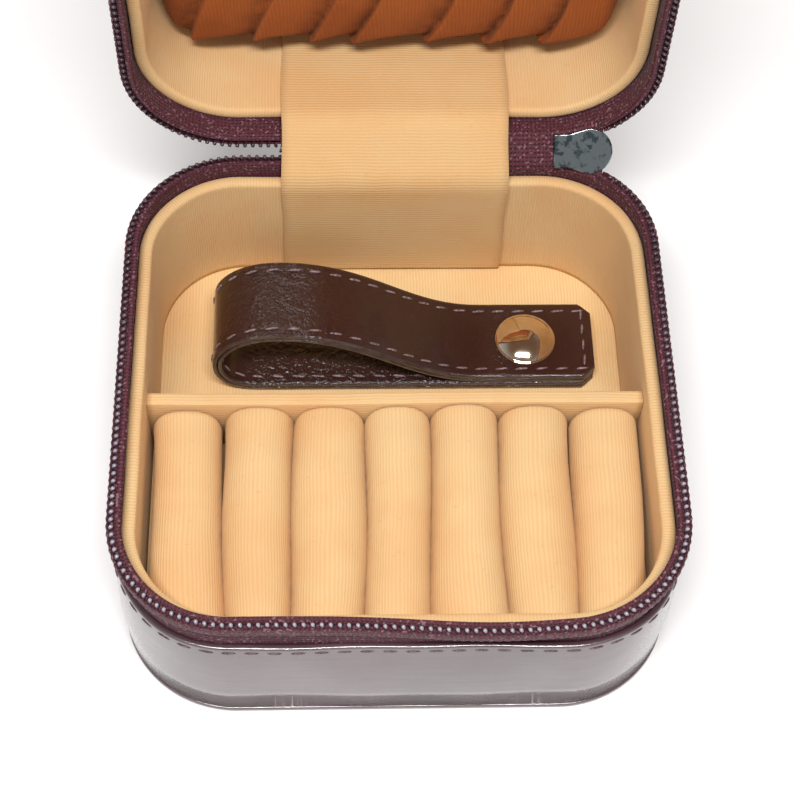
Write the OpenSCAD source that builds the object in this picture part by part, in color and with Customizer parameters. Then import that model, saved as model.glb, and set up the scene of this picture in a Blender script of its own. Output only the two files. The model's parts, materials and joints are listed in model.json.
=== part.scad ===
// Zip-round jewellery case, lid open at a right angle. Millimetres.
// Origin: centre of the base's underside. X right, Y towards the hinge, Z up.

/* [Case] */
// Width of each leather half
body_w = 100; // [90:1:120]
// Depth of each leather half, front to hinge
body_d = 100; // [90:1:120]
// Outside corner radius seen from above
corner_r = 21; // [17:0.5:26]
// Height of the base's leather wall
base_h = 27; // [24:0.5:36]
// Height of the lid's leather wall
lid_h = 27; // [22:0.5:36]
// Opening of the lid from closed, as stored
open_angle = 90; // [80:1:95]

/* [Wall layers] */
// Thickness of the outer leather
leather_t = 1.2; // [0.8:0.1:1.6]
// Thickness of the zip tape
tape_t = 0.5; // [0.3:0.1:0.8]
// Thickness of the stiff board in the walls
board_t = 1.3; // [0.8:0.1:2]
// Thickness of the cloth-covered lining card
lining_t = 1.3; // [0.8:0.1:2]
// Height of the lining above the leather's edge
lining_proud = 4.7; // [2:0.1:6]
// Thickness of the board under the floor and over the ceiling
base_board_t = 1.5; // [1:0.1:3]
// Thickness of the padded floor and ceiling
pad_t = 1.8; // [1:0.1:4]

/* [Zip] */
// Tape that shows between the leather's edge and the middle of the zip
tape_show = 8.6; // [7:0.1:12]
// How far the tape leans out between the leather's edge and the teeth
tape_flare = 1; // [0:0.1:2]
// Tape sewn in behind the leather
tape_tuck = 8; // [4:0.5:12]
// Distance from one tooth to the next in a row
tooth_pitch = 1.5; // [1.4:0.05:2]
// Length of a tooth across the zip
tooth_len = 3.1; // [2.8:0.1:3.6]
// Thickness of a tooth through the zip
tooth_t = 1.5; // [1.2:0.1:2]
// How far the row that stays closed reaches past the left edge of the cloth panel
row_past_panel = 0.3; // [0:0.1:4]
// How far the closed row stops short of the round corner, on the slider's side
row_short = 0; // [0:0.5:3]

/* [Slider] */
// Length of the slider along the zip
slider_l = 11; // [10:0.5:13]
// Width of the slider at its wide end
slider_w = 9.2; // [8.5:0.1:11]
// Thickness of each slider plate
slider_plate_t = 0.9; // [0.7:0.1:1.2]
// Length of the pull
pull_l = 22; // [16:0.5:24]
// Width of the pull
pull_w = 6; // [4:0.5:8]

/* [Inside] */
// Thickness of the divider board
divider_t = 2.6; // [2:0.1:4]
// Height of the divider's top above the underside of the case
divider_top = 26; // [20:0.5:28]
// Radius of a ring roll
roll_r = 6.3; // [5:0.1:6.4]
// Number of ring rolls
roll_count = 7; // [6:1:7]
// Height of the foam under the rolls
bed_h = 8.5; // [4:0.5:9]
// Width of the cloth panel over the hinge
panel_w = 44; // [36:1:45]
// Place of the panel's middle, right of the case's middle
panel_x = 0.8; // [-1:0.1:1]
// Thickness of the hinge cloth and of the hinge leather
panel_t = 0.6; // [0.4:0.1:1]

/* [Lid pocket] */
// Width of the gathered pocket
pocket_w = 86; // [60:1:88]
// Height of the pocket from its sewn edge to its mouth
pocket_l = 50; // [30:1:56]
// Depth that the filled pocket stands off the ceiling
pocket_d = 12; // [8:0.5:14]
// Thickness of the pocket's cloth
pocket_t = 1; // [0.6:0.1:1.4]
// Width of the elastic along the mouth
elastic_w = 2; // [1.5:0.1:4]

/* [Strap] */
// Width of the strap
strap_w = 17.5; // [14:0.5:20]
// Thickness of one of the strap's two plies
ply_t = 1; // [0.7:0.1:1.2]
// Left end of the folded strap
strap_left = -35; // [-38:0.5:-30]
// Right end of the folded strap
strap_right = 40.3; // [36:0.1:42]
// How far the strap lies behind the middle of the rear compartment
strap_back = 0.7; // [-3:0.1:3]
// Distance from the fold to the crest of the upper leg
crest_run = 12; // [8:0.5:16]
// Distance from the fold to where the two legs lie together
slope_run = 52; // [44:1:56]
// Height of the fold's crest over the padded floor
fold_h = 19.4; // [14:0.1:22]
// Distance of the snap from the strap's right end
snap_in = 13.5; // [10:0.1:20]
// Radius of the snap's cap
cap_r = 6; // [4:0.1:7]
// Height of the cap's dome
cap_h = 2.2; // [1.5:0.1:3]

/* [Hidden] */
$fn = 64;

hinge_y = body_d / 2 + 1;
hinge_z = base_h + tape_show;
soft_gap = 0.3;              // air round soft pieces that only lie against each other
floor_z = leather_t + base_board_t + pad_t;
tape_in = leather_t;         // inset of the tape's outer face from the leather's
board_in = tape_in + tape_t;
lining_in = board_in + board_t;
inner_in = lining_in + lining_t;
lining_top = base_h + lining_proud;
hinge_tape_drop = 1.6;       // the tape is cut lower where the closed row crosses it
hinge_cut = 20;              // size of the block that cuts it
slider_from = 3;             // gap between the closed row and the slider
row_gap = 0.4;               // gap between the open rows and the closed one
edge_round = 0.5;            // softened edge of the leather

// Leather halves and the lining are rings round a rectangle with round corners.
module round_rect(w, d, r) {
    square([w - 2 * r, d], center = true);
    square([w, d - 2 * r], center = true);
    for (sx = [-1, 1])
        for (sy = [-1, 1])
            translate([sx * (w / 2 - r), sy * (d / 2 - r)]) circle(r);
}

// A plate of the case's plan, drawn in from the leather's face.
module plan_plate(inset, z0, z1) {
    translate([0, 0, z0])
        linear_extrude(z1 - z0) round_rect(body_w - 2 * inset, body_d - 2 * inset, corner_r - inset);
}

// Sweeps a section round the case: x is measured outwards from the leather's face, y is height.
module plan_ring() {
    side_x = body_w - 2 * corner_r;
    side_y = body_d - 2 * corner_r;
    for (k = [0:3]) {
        length = k % 2 == 0 ? side_y : side_x;
        reach = k % 2 == 0 ? body_w / 2 : body_d / 2;
        rotate([0, 0, 90 * k]) translate([reach, length / 2, 0]) rotate([90, 0, 0]) linear_extrude(length) children();
    }
    for (k = [0:3]) {
        sx = (k == 0 || k == 3) ? 1 : -1;
        sy = k < 2 ? 1 : -1;
        translate([sx * side_x / 2, sy * side_y / 2, 0]) rotate([0, 0, 90 * k])
            rotate_extrude(angle = 90) translate([corner_r, 0]) children();
    }
}

// Mirrors a base piece into the lid as if the case were closed, then opens the lid.
module in_lid() {
    translate([0, hinge_y, hinge_z]) rotate([-open_angle, 0, 0]) translate([0, -hinge_y, lid_h + tape_show])
        mirror([0, 0, 1]) children();
}

// ---- shells of either half, as lying on their outer face ----

module outer_plate() {
    plan_plate(0, 0, leather_t);
}

module leather_wall(h) {
    plan_ring() polygon([[-leather_t, leather_t], [0, leather_t], [0, h - edge_round],
        [-edge_round * 0.3, h - edge_round * 0.3], [-edge_round, h], [-leather_t, h]]);
}

module outer_board() {
    plan_plate(leather_t, leather_t, leather_t + base_board_t);
}

module wall_board(h) {
    plan_ring() translate([-lining_in, leather_t + base_board_t])
        square([board_t, h - leather_t - base_board_t]);
}

module inner_pad() {
    plan_plate(lining_in, leather_t + base_board_t, floor_z);
}

// The lining card, and its lip that reaches out over the wall board with a round top.
module lining_wall(h) {
    lip_w = inner_in - board_in - soft_gap;
    lip_z = h + lining_proud - lip_w / 2;
    plan_ring() union() {
        translate([-inner_in, floor_z]) square([lining_t, lip_z - floor_z]);
        translate([-inner_in, h + soft_gap]) square([lip_w, lip_z - h - soft_gap]);
        translate([-inner_in + lip_w / 2, lip_z]) circle(lip_w / 2, $fn = 24);
    }
}

module zip_tape(h) {
    top = h + tape_show - tooth_len + head_len;
    low = h - tape_tuck;
    difference() {
        plan_ring() polygon([[-board_in, low], [-tape_in, low], [-tape_in, h], [tape_flare - tape_in, top],
            [tape_flare - board_in, top], [-board_in, h]]);
        translate([chain_left - row_gap / 2, body_d / 2 - hinge_cut / 2, top - hinge_tape_drop])
            cube([chain_right - chain_left + slider_l + slider_from + row_gap, hinge_cut, hinge_cut]);
    }
}

// ---- zip ----

chain_left = panel_x - panel_w / 2 - row_past_panel;
chain_right = body_w / 2 - corner_r - row_short;

row_in = tape_in - tape_flare;           // inset of the teeth's inner face
row_r = corner_r - row_in + tooth_t / 2;
row_x = body_w / 2 - corner_r;
row_y = body_d / 2 - corner_r;
row_arc = PI * row_r / 2;
row_length = 4 * row_x + 4 * row_y + 4 * row_arc;

// Place and heading on the row at a distance from the middle of the back, going round by the left.
function row_at(s) =
    s < row_x ? [-s, row_y + row_r, 90] :
    s < row_x + row_arc ? row_corner(-row_x, row_y, 90 + (s - row_x) / row_arc * 90) :
    s < row_x + row_arc + 2 * row_y ? [-row_x - row_r, row_y - (s - row_x - row_arc), 180] :
    s < row_x + 2 * row_arc + 2 * row_y
        ? row_corner(-row_x, -row_y, 180 + (s - row_x - row_arc - 2 * row_y) / row_arc * 90) :
    s < 3 * row_x + 2 * row_arc + 2 * row_y ? [s - 2 * row_x - 2 * row_arc - 2 * row_y, -row_y - row_r, 270] :
    s < 3 * row_x + 3 * row_arc + 2 * row_y
        ? row_corner(row_x, -row_y, 270 + (s - 3 * row_x - 2 * row_arc - 2 * row_y) / row_arc * 90) :
    s < 3 * row_x + 3 * row_arc + 4 * row_y
        ? [row_x + row_r, -row_y + (s - 3 * row_x - 3 * row_arc - 2 * row_y), 360] :
    row_corner(row_x, row_y, (s - 3 * row_x - 3 * row_arc - 4 * row_y) / row_arc * 90);
function row_corner(cx, cy, a) = [cx + row_r * cos(a), cy + row_r * sin(a), a];

neck = 0.2;                              // half width of a tooth's shank and of its head
head = 0.34;
head_len = 0.9;                          // length of the head, and where it is widest
head_mid = 0.5;
head_over = 0.45;                        // reach of a head past the middle of the zip
open_start = -chain_left + row_gap + tooth_pitch / 4;
open_end = row_length - (chain_right + slider_from + slider_l - row_gap);

// One tooth, its root at the origin, its head up, its thickness along X.
module tooth() {
    rotate([90, 0, 90]) translate([0, 0, -tooth_t / 2])
        linear_extrude(tooth_t) polygon([[-neck, 0], [neck, 0], [neck, tooth_len - head_len], [head, tooth_len - head_mid],
            [neck, tooth_len], [-neck, tooth_len], [-head, tooth_len - head_mid], [-neck, tooth_len - head_len]]);
}

module teeth_row(h, shift) {
    z0 = h + tape_show + head_over - tooth_len;
    for (s = [open_start + shift : tooth_pitch : open_end]) {
        p = row_at(s);
        translate([p[0], p[1], z0]) rotate([0, 0, p[2]]) tooth();
    }
}

// Things on the closed row lie about the hinge axis, turned half as far as the lid.
module on_chain() {
    translate([0, hinge_y, hinge_z]) rotate([-open_angle / 2, 0, 0]) children();
}

chain_tape_w = 1.2;                      // tape that the closed row keeps on each side

module zip_chain() {
    length = chain_right - chain_left;
    steps = floor(length / tooth_pitch) - 1;
    color([0.16, 0.08, 0.11]) on_chain() {
        for (side = [-1, 1])
            translate([chain_left, -tooth_t / 2 - tape_t, side > 0 ? 0.3 : -tooth_len - chain_tape_w + head_over])
                cube([length, tape_t, tooth_len + chain_tape_w - head_over - 0.3]);
        for (i = [0 : steps])
            translate([chain_left + 0.6 + i * tooth_pitch, 0, head_over - tooth_len]) rotate([0, 0, 90]) tooth();
        for (i = [0 : steps])
            translate([chain_left + 0.6 + (i + 0.5) * tooth_pitch, 0, tooth_len - head_over])
                rotate([0, 180, 0]) rotate([0, 0, 90]) tooth();
    }
}

// ---- slider ----

slider_x = chain_right + slider_from;    // narrow end of the slider
chain_half = tooth_t / 2 + tape_t + 0.35;
slider_narrow = 6.6;

// Plate with a narrow square end and a wide round end.
module slider_outline() {
    r = slider_w / 2;
    intersection() {
        union() {
            translate([slider_l - r, 0]) circle(r);
            translate([0, -slider_narrow / 2]) square([slider_l - r, slider_narrow]);
        }
        translate([0, -r]) square([slider_l, 2 * r]);
    }
}

module slider_body() {
    color([0.52, 0.56, 0.6]) on_chain() translate([slider_x, 0, 0]) rotate([90, 0, 0]) {
        for (side = [-1, 1])
            translate([0, 0, side > 0 ? chain_half : -chain_half - slider_plate_t])
                linear_extrude(slider_plate_t) slider_outline();
        translate([slider_l - 3.6, 0, -chain_half]) linear_extrude(2 * chain_half)
            polygon([[0, 0], [2.6, -1.3], [3.3, 0], [2.6, 1.3]]);
    }
}

bridge_h = 2.6;
bridge_t = 0.9;
bridge_from = 2.2;
bridge_l = 6;
bridge_w = 1.8;
outer_plate_y = chain_half + slider_plate_t;

// Arch over the outer plate that holds the pull.
module slider_bridge() {
    color([0.52, 0.56, 0.6]) on_chain() translate([slider_x + bridge_from, outer_plate_y, -bridge_w / 2]) difference() {
        cube([bridge_l, bridge_h, bridge_w]);
        translate([bridge_t, -1, -1]) cube([bridge_l - 2 * bridge_t, bridge_h - bridge_t + 1, bridge_w + 2]);
    }
}

// The pull's end is rolled into an eye round the arch's bar.
bar_y = outer_plate_y + bridge_h - bridge_t / 2;
pull_t = 1.1;
eye_r = 1.9;
eye_bore = 1.15;
eye_l = bridge_l - 2 * bridge_t - 0.6;
pull_shoulder = 5;                       // distance from the eye at which the pull reaches its full width
pull_hole_r = 1.3;

module pull_tab() {
    pivot = [slider_x + bridge_from + bridge_l / 2, hinge_y + bar_y * cos(open_angle / 2),
        hinge_z - bar_y * sin(open_angle / 2)];
    color([0.5, 0.54, 0.58]) translate(pivot) difference() {
        union() {
            rotate([0, 90, 0]) translate([0, 0, -eye_l / 2]) cylinder(r = eye_r, h = eye_l);
            translate([0, pull_t / 2, 0]) rotate([90, 0, 0]) linear_extrude(pull_t) difference() {
                union() {
                    polygon([[-eye_l / 2, 0], [-eye_l / 2, -pull_shoulder + 1.5], [-pull_w / 2, -pull_shoulder],
                        [-pull_w / 2, -pull_l + pull_w / 2], [pull_w / 2, -pull_l + pull_w / 2],
                        [pull_w / 2, -pull_shoulder], [eye_l / 2, -pull_shoulder + 1.5], [eye_l / 2, 0]]);
                    translate([0, -pull_l + pull_w / 2]) circle(pull_w / 2);
                }
                translate([0, -pull_l + pull_w / 2]) circle(pull_hole_r);
            }
        }
        rotate([0, 90, 0]) translate([0, 0, -eye_l]) cylinder(r = eye_bore, h = 2 * eye_l);
    }
}

// ---- base ----

module base_leather_bottom() { color([0.24, 0.1, 0.12]) outer_plate(); }
module base_leather_wall() { color([0.27, 0.11, 0.14]) leather_wall(base_h); }
module base_bottom_board() { color([0.72, 0.66, 0.55]) outer_board(); }
module base_wall_board() { color([0.72, 0.66, 0.55]) wall_board(base_h); }
module base_floor_pad() { color([0.9, 0.72, 0.48]) inner_pad(); }
module base_lining_wall() { color([0.93, 0.74, 0.5]) lining_wall(base_h); }
module lower_zip_tape() { color([0.3, 0.13, 0.19]) zip_tape(base_h); }
module lower_zip_teeth() { color([0.16, 0.08, 0.11]) teeth_row(base_h, 0); }

module divider() {
    color([0.93, 0.74, 0.5]) translate([-body_w / 2 + inner_in, -divider_t / 2, floor_z])
        cube([body_w - 2 * inner_in, divider_t, divider_top - floor_z]);
}

// The front compartment, cut out of the lining's inside.
module front_room(gap, z0, z1) {
    intersection() {
        plan_plate(inner_in + gap, z0, z1);
        translate([-body_w / 2, -body_d / 2, z0]) cube([body_w, body_d / 2 - divider_t / 2 - gap, z1 - z0]);
    }
}

module roll_bed() {
    color([0.85, 0.66, 0.42]) front_room(soft_gap, floor_z, floor_z + bed_h);
}

roll_pitch = (body_w - 2 * inner_in) / roll_count;
roll_z = floor_z + bed_h + soft_gap + roll_r;
roll_end = 2.4;                          // rounding of a roll's ends

// One roll of stuffed cloth, lying front to back and trimmed to the round front corners.
module ring_roll(i) {
    front = -body_d / 2 + inner_in + soft_gap;
    back = -divider_t / 2 - soft_gap;
    color([0.94, 0.76, 0.52]) intersection() {
        translate([(i - (roll_count - 1) / 2) * roll_pitch, back, roll_z]) rotate([90, 0, 0])
            rotate_extrude() union() {
                square([roll_r - roll_end, back - front]);
                translate([0, roll_end]) square([roll_r, back - front - 2 * roll_end]);
                for (y = [roll_end, back - front - roll_end])
                    translate([roll_r - roll_end, y]) circle(roll_end, $fn = 32);
            }
        front_room(soft_gap, floor_z, divider_top);
    }
}

// Bent strip of the panel's width: a section in Y and Z, given as the points along its two sides.
module bent_strip(inner, outer) {
    translate([panel_x - panel_w / 2, 0, 0]) rotate([90, 0, 90])
        linear_extrude(panel_w) polygon(concat(inner, [for (i = [len(outer) - 1 : -1 : 0]) outer[i]]));
}

// The cloth runs up the base's back wall, straight from lip to lip, and along the lid's wall.
module hinge_lining() {
    y_in = body_d / 2 - inner_in;
    z_lid = hinge_z + hinge_y - y_in;
    y_lid = hinge_y + hinge_z - lining_top;
    y_end = hinge_y + hinge_z - floor_z - soft_gap;
    over = 1.1;                          // height of the cloth over each lip
    side = 0.2;
    turn = 0.45;                         // shift of the inner side where the cloth runs aslant
    a = [[y_in - soft_gap, floor_z + soft_gap], [y_in - soft_gap, lining_top - 0.4],
        [y_in + side, lining_top + over], [y_lid - over, z_lid - side],
        [y_lid + 0.4, z_lid + soft_gap], [y_end, z_lid + soft_gap]];
    b = [[y_in - soft_gap - panel_t, floor_z + soft_gap], [y_in - soft_gap - panel_t, lining_top - 0.1],
        [y_in + side - turn, lining_top + over + turn], [y_lid - over - turn, z_lid - side + turn],
        [y_lid + 0.1, z_lid + soft_gap + panel_t], [y_end, z_lid + soft_gap + panel_t]];
    color([0.93, 0.75, 0.5]) bent_strip(b, a);
}

hinge_patch = 12;                        // length of the hinge leather sewn to each half
// Where the slack leather bows: out from the base's wall and up, twice, then back and down from the lid's end.
bow_low = [1.3, 3.6];
bow_mid = [3.1, 5.5];
bow_high = [3.6, 1.3];
bow_shift = 0.4;                         // shift of the outer side where the leather runs aslant

// The leather outside the hinge, slack when the lid is open.
module hinge_leather() {
    y0 = body_d / 2 + 0.05;
    z0 = hinge_z + hinge_y - y0;
    y1 = hinge_y + tape_show;
    a = [[y0, base_h - hinge_patch], [y0, base_h], [y0 + bow_low.x, base_h + bow_low.y],
        [y0 + bow_mid.x, base_h + bow_mid.y], [y1 - bow_high.x, z0 - bow_high.y], [y1, z0], [y1 + hinge_patch, z0]];
    b = [[y0 + panel_t, base_h - hinge_patch], [y0 + panel_t, base_h - bow_shift / 2],
        [y0 + bow_low.x + 1.5 * bow_shift, base_h + bow_low.y - bow_shift * 0.75],
        [y0 + bow_mid.x + bow_shift, base_h + bow_mid.y - bow_shift],
        [y1 - bow_high.x + bow_shift * 0.75, z0 - bow_high.y - 1.5 * bow_shift],
        [y1 + bow_shift / 2, z0 - panel_t], [y1 + hinge_patch, z0 - panel_t]];
    color([0.24, 0.1, 0.12]) bent_strip(a, b);
}

// ---- lid ----

module lid_leather_top() { color([0.24, 0.1, 0.12]) in_lid() outer_plate(); }
module lid_leather_wall() { color([0.27, 0.11, 0.14]) in_lid() leather_wall(lid_h); }
module lid_top_board() { color([0.72, 0.66, 0.55]) in_lid() outer_board(); }
module lid_wall_board() { color([0.72, 0.66, 0.55]) in_lid() wall_board(lid_h); }
module lid_ceiling_pad() { color([0.85, 0.66, 0.42]) in_lid() inner_pad(); }
module lid_lining_wall() { color([0.93, 0.74, 0.5]) in_lid() lining_wall(lid_h); }
module upper_zip_tape() { color([0.3, 0.13, 0.19]) in_lid() zip_tape(lid_h); }
module upper_zip_teeth() { color([0.16, 0.08, 0.11]) in_lid() teeth_row(lid_h, tooth_pitch / 2); }

pocket_back = body_d / 2 - inner_in - 3; // sewn edge, near the hinge
pocket_front = pocket_back - pocket_l;
pocket_r = 8;

// A cloth bag on the ceiling: sewn on three sides, open towards the front of the lid.
module pocket_block(inset, front, z0, z1) {
    r = pocket_r - inset;
    translate([0, 0, z0]) linear_extrude(z1 - z0) union() {
        translate([-pocket_w / 2 + inset, front]) square([pocket_w - 2 * inset, pocket_back - inset - r - front]);
        translate([-pocket_w / 2 + inset + r, front]) square([pocket_w - 2 * inset - 2 * r, pocket_back - inset - front]);
        for (sx = [-1, 1])
            translate([sx * (pocket_w / 2 - inset - r), pocket_back - inset - r]) circle(r);
    }
}

module lid_pocket() {
    color([0.7, 0.4, 0.18]) in_lid() difference() {
        pocket_block(0, pocket_front, floor_z, floor_z + pocket_d);
        pocket_block(pocket_t, pocket_front - 1, floor_z - 1, floor_z + pocket_d - pocket_t);
    }
}

module pocket_elastic() {
    color([0.62, 0.34, 0.15]) in_lid() translate([-pocket_w / 2, pocket_front - elastic_w, floor_z + pocket_d - pocket_t])
        cube([pocket_w, elastic_w, pocket_t]);
}

// ---- strap ----

strap_z = floor_z + soft_gap;            // underside of the strap
strap_y = (divider_t / 2 + body_d / 2 - inner_in) / 2 + strap_back;
lower_mid = strap_z + ply_t;
upper_mid = lower_mid + 2 * ply_t + 0.35;
crest = floor_z + fold_h - ply_t;
fold_z = floor_z + fold_h * 0.44;
fold_x = strap_left + ply_t;
snap_x = strap_right - snap_in;
chamfer = 2.2;
curve_steps = 8;
slope_steps = 12;

function bezier(a, b, c, d, t) =
    pow(1 - t, 3) * a + 3 * pow(1 - t, 2) * t * b + 3 * (1 - t) * t * t * c + pow(t, 3) * d;
function curve(a, b, c, d, n) = [for (i = [0 : n]) bezier(a, b, c, d, i / n)];
// Moves a line of points sideways, to the left of its direction.
function beside(p, by) = [for (i = [0 : len(p) - 1])
    let (v = p[min(i + 1, len(p) - 1)] - p[max(i - 1, 0)], n = [-v[1], v[0]] / norm(v)) p[i] + by * n];
function back_again(p) = [for (i = [len(p) - 1 : -1 : 0]) p[i]];

// Middle line of the lower leg, from the fold to the end, and of the upper leg.
lower_line = concat(curve([fold_x, fold_z - 0.1], [fold_x, (fold_z + lower_mid) / 2],
    [fold_x + crest_run * 0.18, lower_mid], [fold_x + crest_run * 0.7, lower_mid], curve_steps),
    [[strap_right, lower_mid]]);
upper_line = concat(
    curve([fold_x, fold_z + 0.1], [fold_x, fold_z + (crest - fold_z) * 0.55], [fold_x + crest_run * 0.42, crest],
        [fold_x + crest_run, crest], curve_steps),
    [for (i = [1 : slope_steps]) bezier([fold_x + crest_run, crest],
        [fold_x + crest_run + (slope_run - crest_run) * 0.45, crest],
        [fold_x + crest_run + (slope_run - crest_run) * 0.62, upper_mid],
        [fold_x + slope_run, upper_mid], i / slope_steps)], [[strap_right, upper_mid]]);

// A ply between two offsets of a middle line, with the end's corners cut off.
module strap_ply(line, from, to) {
    translate([0, strap_y + strap_w / 2, 0]) rotate([90, 0, 0]) difference() {
        linear_extrude(strap_w) polygon(concat(beside(line, from), back_again(beside(line, to))));
        for (side = [0, 1])
            translate([strap_right, 0, side * strap_w]) rotate([90, 0, 0])
                rotate([0, 0, 45]) translate([0, 0, -crest - 5])
                    cube([chamfer * sqrt(2), chamfer * sqrt(2), 2 * crest], center = true);
    }
}

module snap_hole(r, z0, z1) {
    translate([snap_x, strap_y, z0]) cylinder(r = r, h = z1 - z0);
}

stud_r = 2.2;
stud_plate_r = 3.8;
socket_r = 4.3;
socket_bore = stud_r + 0.25;
stem_r = 1.1;

module strap_lower() {
    color([0.28, 0.13, 0.12]) difference() {
        strap_ply(lower_line, 0, -ply_t);
        snap_hole(stud_plate_r, strap_z - 1, strap_z + ply_t / 2);
        snap_hole(stem_r, strap_z - 1, lower_mid + 1);
    }
}

module strap_lower_lining() {
    color([0.33, 0.16, 0.15]) difference() {
        strap_ply(lower_line, ply_t, 0);
        snap_hole(stud_plate_r, lower_mid, lower_mid + ply_t + 1);
    }
}

// Rivet head under the strap, sunk level with the leather.
module snap_back() {
    color([0.7, 0.72, 0.75]) {
        snap_hole(stud_plate_r, strap_z, strap_z + ply_t / 2);
        snap_hole(stem_r, strap_z + ply_t / 2, lower_mid);
    }
}

module snap_stud() {
    color([0.7, 0.72, 0.75]) {
        snap_hole(stud_plate_r, lower_mid, lower_mid + ply_t);
        snap_hole(stud_r, lower_mid + ply_t, upper_mid - 0.1);
    }
}

module strap_upper() {
    color([0.28, 0.13, 0.12]) difference() {
        strap_ply(upper_line, ply_t, 0);
        snap_hole(stem_r, upper_mid - 1, upper_mid + ply_t + 1);
    }
}

module strap_upper_lining() {
    color([0.33, 0.16, 0.15]) difference() {
        strap_ply(upper_line, 0, -ply_t);
        snap_hole(socket_r, upper_mid - ply_t - 1, upper_mid);
    }
}

// Ring that grips the stud, with its stem up through the outer ply.
module snap_socket() {
    color([0.7, 0.72, 0.75]) difference() {
        snap_hole(socket_r, upper_mid - ply_t, upper_mid);
        snap_hole(socket_bore, upper_mid - ply_t - 1, upper_mid + 1);
    }
}

// Polished dome on top of the strap, with its stem down through the outer ply.
module snap_cap() {
    dome_r = (cap_r * cap_r + cap_h * cap_h) / (2 * cap_h);
    color([0.8, 0.82, 0.84]) {
        translate([snap_x, strap_y, upper_mid + ply_t]) rotate_extrude() intersection() {
            translate([0, cap_h - dome_r]) circle(dome_r, $fn = 96);
            square([cap_r, cap_h]);
        }
        snap_hole(stem_r, upper_mid, upper_mid + ply_t);
    }
}

base_leather_bottom();
base_leather_wall();
base_bottom_board();
base_wall_board();
base_floor_pad();
base_lining_wall();
roll_bed();
divider();
ring_roll(0);  // ring_roll_1
ring_roll(1);  // ring_roll_2
ring_roll(2);  // ring_roll_3
ring_roll(3);  // ring_roll_4
ring_roll(4);  // ring_roll_5
ring_roll(5);  // ring_roll_6
ring_roll(6);  // ring_roll_7
lower_zip_tape();
lower_zip_teeth();
hinge_lining();
hinge_leather();
lid_leather_top();
lid_leather_wall();
lid_top_board();
lid_wall_board();
lid_ceiling_pad();
lid_lining_wall();
lid_pocket();
pocket_elastic();
upper_zip_tape();
upper_zip_teeth();
zip_chain();
slider_body();
slider_bridge();
pull_tab();
strap_lower();
strap_lower_lining();
snap_stud();
snap_back();
strap_upper();
strap_upper_lining();
snap_socket();
snap_cap();
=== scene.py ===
import json
import math
import bpy
import numpy as np
from mathutils import Matrix, Vector


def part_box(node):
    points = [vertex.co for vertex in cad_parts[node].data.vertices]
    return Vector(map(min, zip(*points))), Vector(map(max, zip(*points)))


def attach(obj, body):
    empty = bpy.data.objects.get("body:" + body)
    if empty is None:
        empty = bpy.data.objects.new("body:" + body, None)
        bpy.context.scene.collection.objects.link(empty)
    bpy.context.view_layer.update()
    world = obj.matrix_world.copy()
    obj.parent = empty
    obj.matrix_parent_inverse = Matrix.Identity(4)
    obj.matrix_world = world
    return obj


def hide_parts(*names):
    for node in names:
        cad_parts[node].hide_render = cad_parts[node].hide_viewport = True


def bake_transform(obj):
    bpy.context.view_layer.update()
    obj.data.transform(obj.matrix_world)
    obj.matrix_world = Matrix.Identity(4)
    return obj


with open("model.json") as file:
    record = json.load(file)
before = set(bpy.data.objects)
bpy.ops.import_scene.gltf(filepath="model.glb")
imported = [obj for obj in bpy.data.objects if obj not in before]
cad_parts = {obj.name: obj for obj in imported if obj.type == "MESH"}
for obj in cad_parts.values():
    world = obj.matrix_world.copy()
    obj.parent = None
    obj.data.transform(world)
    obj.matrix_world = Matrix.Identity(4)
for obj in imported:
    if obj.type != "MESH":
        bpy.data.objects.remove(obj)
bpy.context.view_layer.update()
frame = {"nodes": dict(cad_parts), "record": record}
nodes = frame["nodes"]
joints = {j["name"]: j for j in frame["record"]["behaviour"]["joints"]}
mm = 0.001                                  # shapes are worked out in millimetres and stored in metres


def nodeBox(name):
    # a node's lowest and highest corner in millimetres
    low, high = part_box(name)
    return np.array(low) / mm, np.array(high) / mm


# the case's plan and heights, read from the frame
hingeY, hingeZ = (v / mm for v in joints["lid_hinge"]["pos_m"][1:])
hingeSum = hingeY + hingeZ
halfX, halfY = nodeBox("base_leather_bottom")[1][:2]
leatherTop = nodeBox("base_leather_wall")[1][2]
liningTop = nodeBox("base_lining_wall")[1][2]
floorPadLow, (liningOuter, _, floorTop) = nodeBox("base_floor_pad")
liningOut = liningOuter - halfX
wall = {"corner": 21.0, "leather": 1.2, "tape": 0.5, "lining": 1.3}


# mesh building
def addObject(name, data):
    # an object at the origin, put into the scene
    obj = bpy.data.objects.new(name, data)
    bpy.context.scene.collection.objects.link(obj)
    return obj


def spread(x, y, z):
    # x, y and z on a new last axis, stretched to one shape
    return np.stack(np.broadcast_arrays(x, y, z), -1)


def gridFaces(rows, cols, closeRows, closeCols):
    # quads of a grid of rows x cols points; a closed direction joins its last line to its first
    i, j = np.meshgrid(np.arange(rows - (not closeRows)), np.arange(cols - (not closeCols)), indexing="ij")
    i, j = i.ravel(), j.ravel()
    corners = [(i, j), (i + 1, j), (i + 1, j + 1), (i, j + 1)]
    quads = np.stack([(a % rows) * cols + b % cols for a, b in corners], 1)
    uvIndex = np.stack([a * (cols + closeCols) + b for a, b in corners], 1)
    return quads, uvIndex


def gridCaps(rows, cols, form):
    # point numbers of the flat faces at the two open ends
    if form == "tube":
        return np.array([np.arange(cols), ((rows - 1) * cols + np.arange(cols))[::-1]])
    if form == "plate":
        return np.array([(np.arange(rows) * cols)[::-1], np.arange(rows) * cols + cols - 1])
    return np.zeros((0, 3), int)


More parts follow.
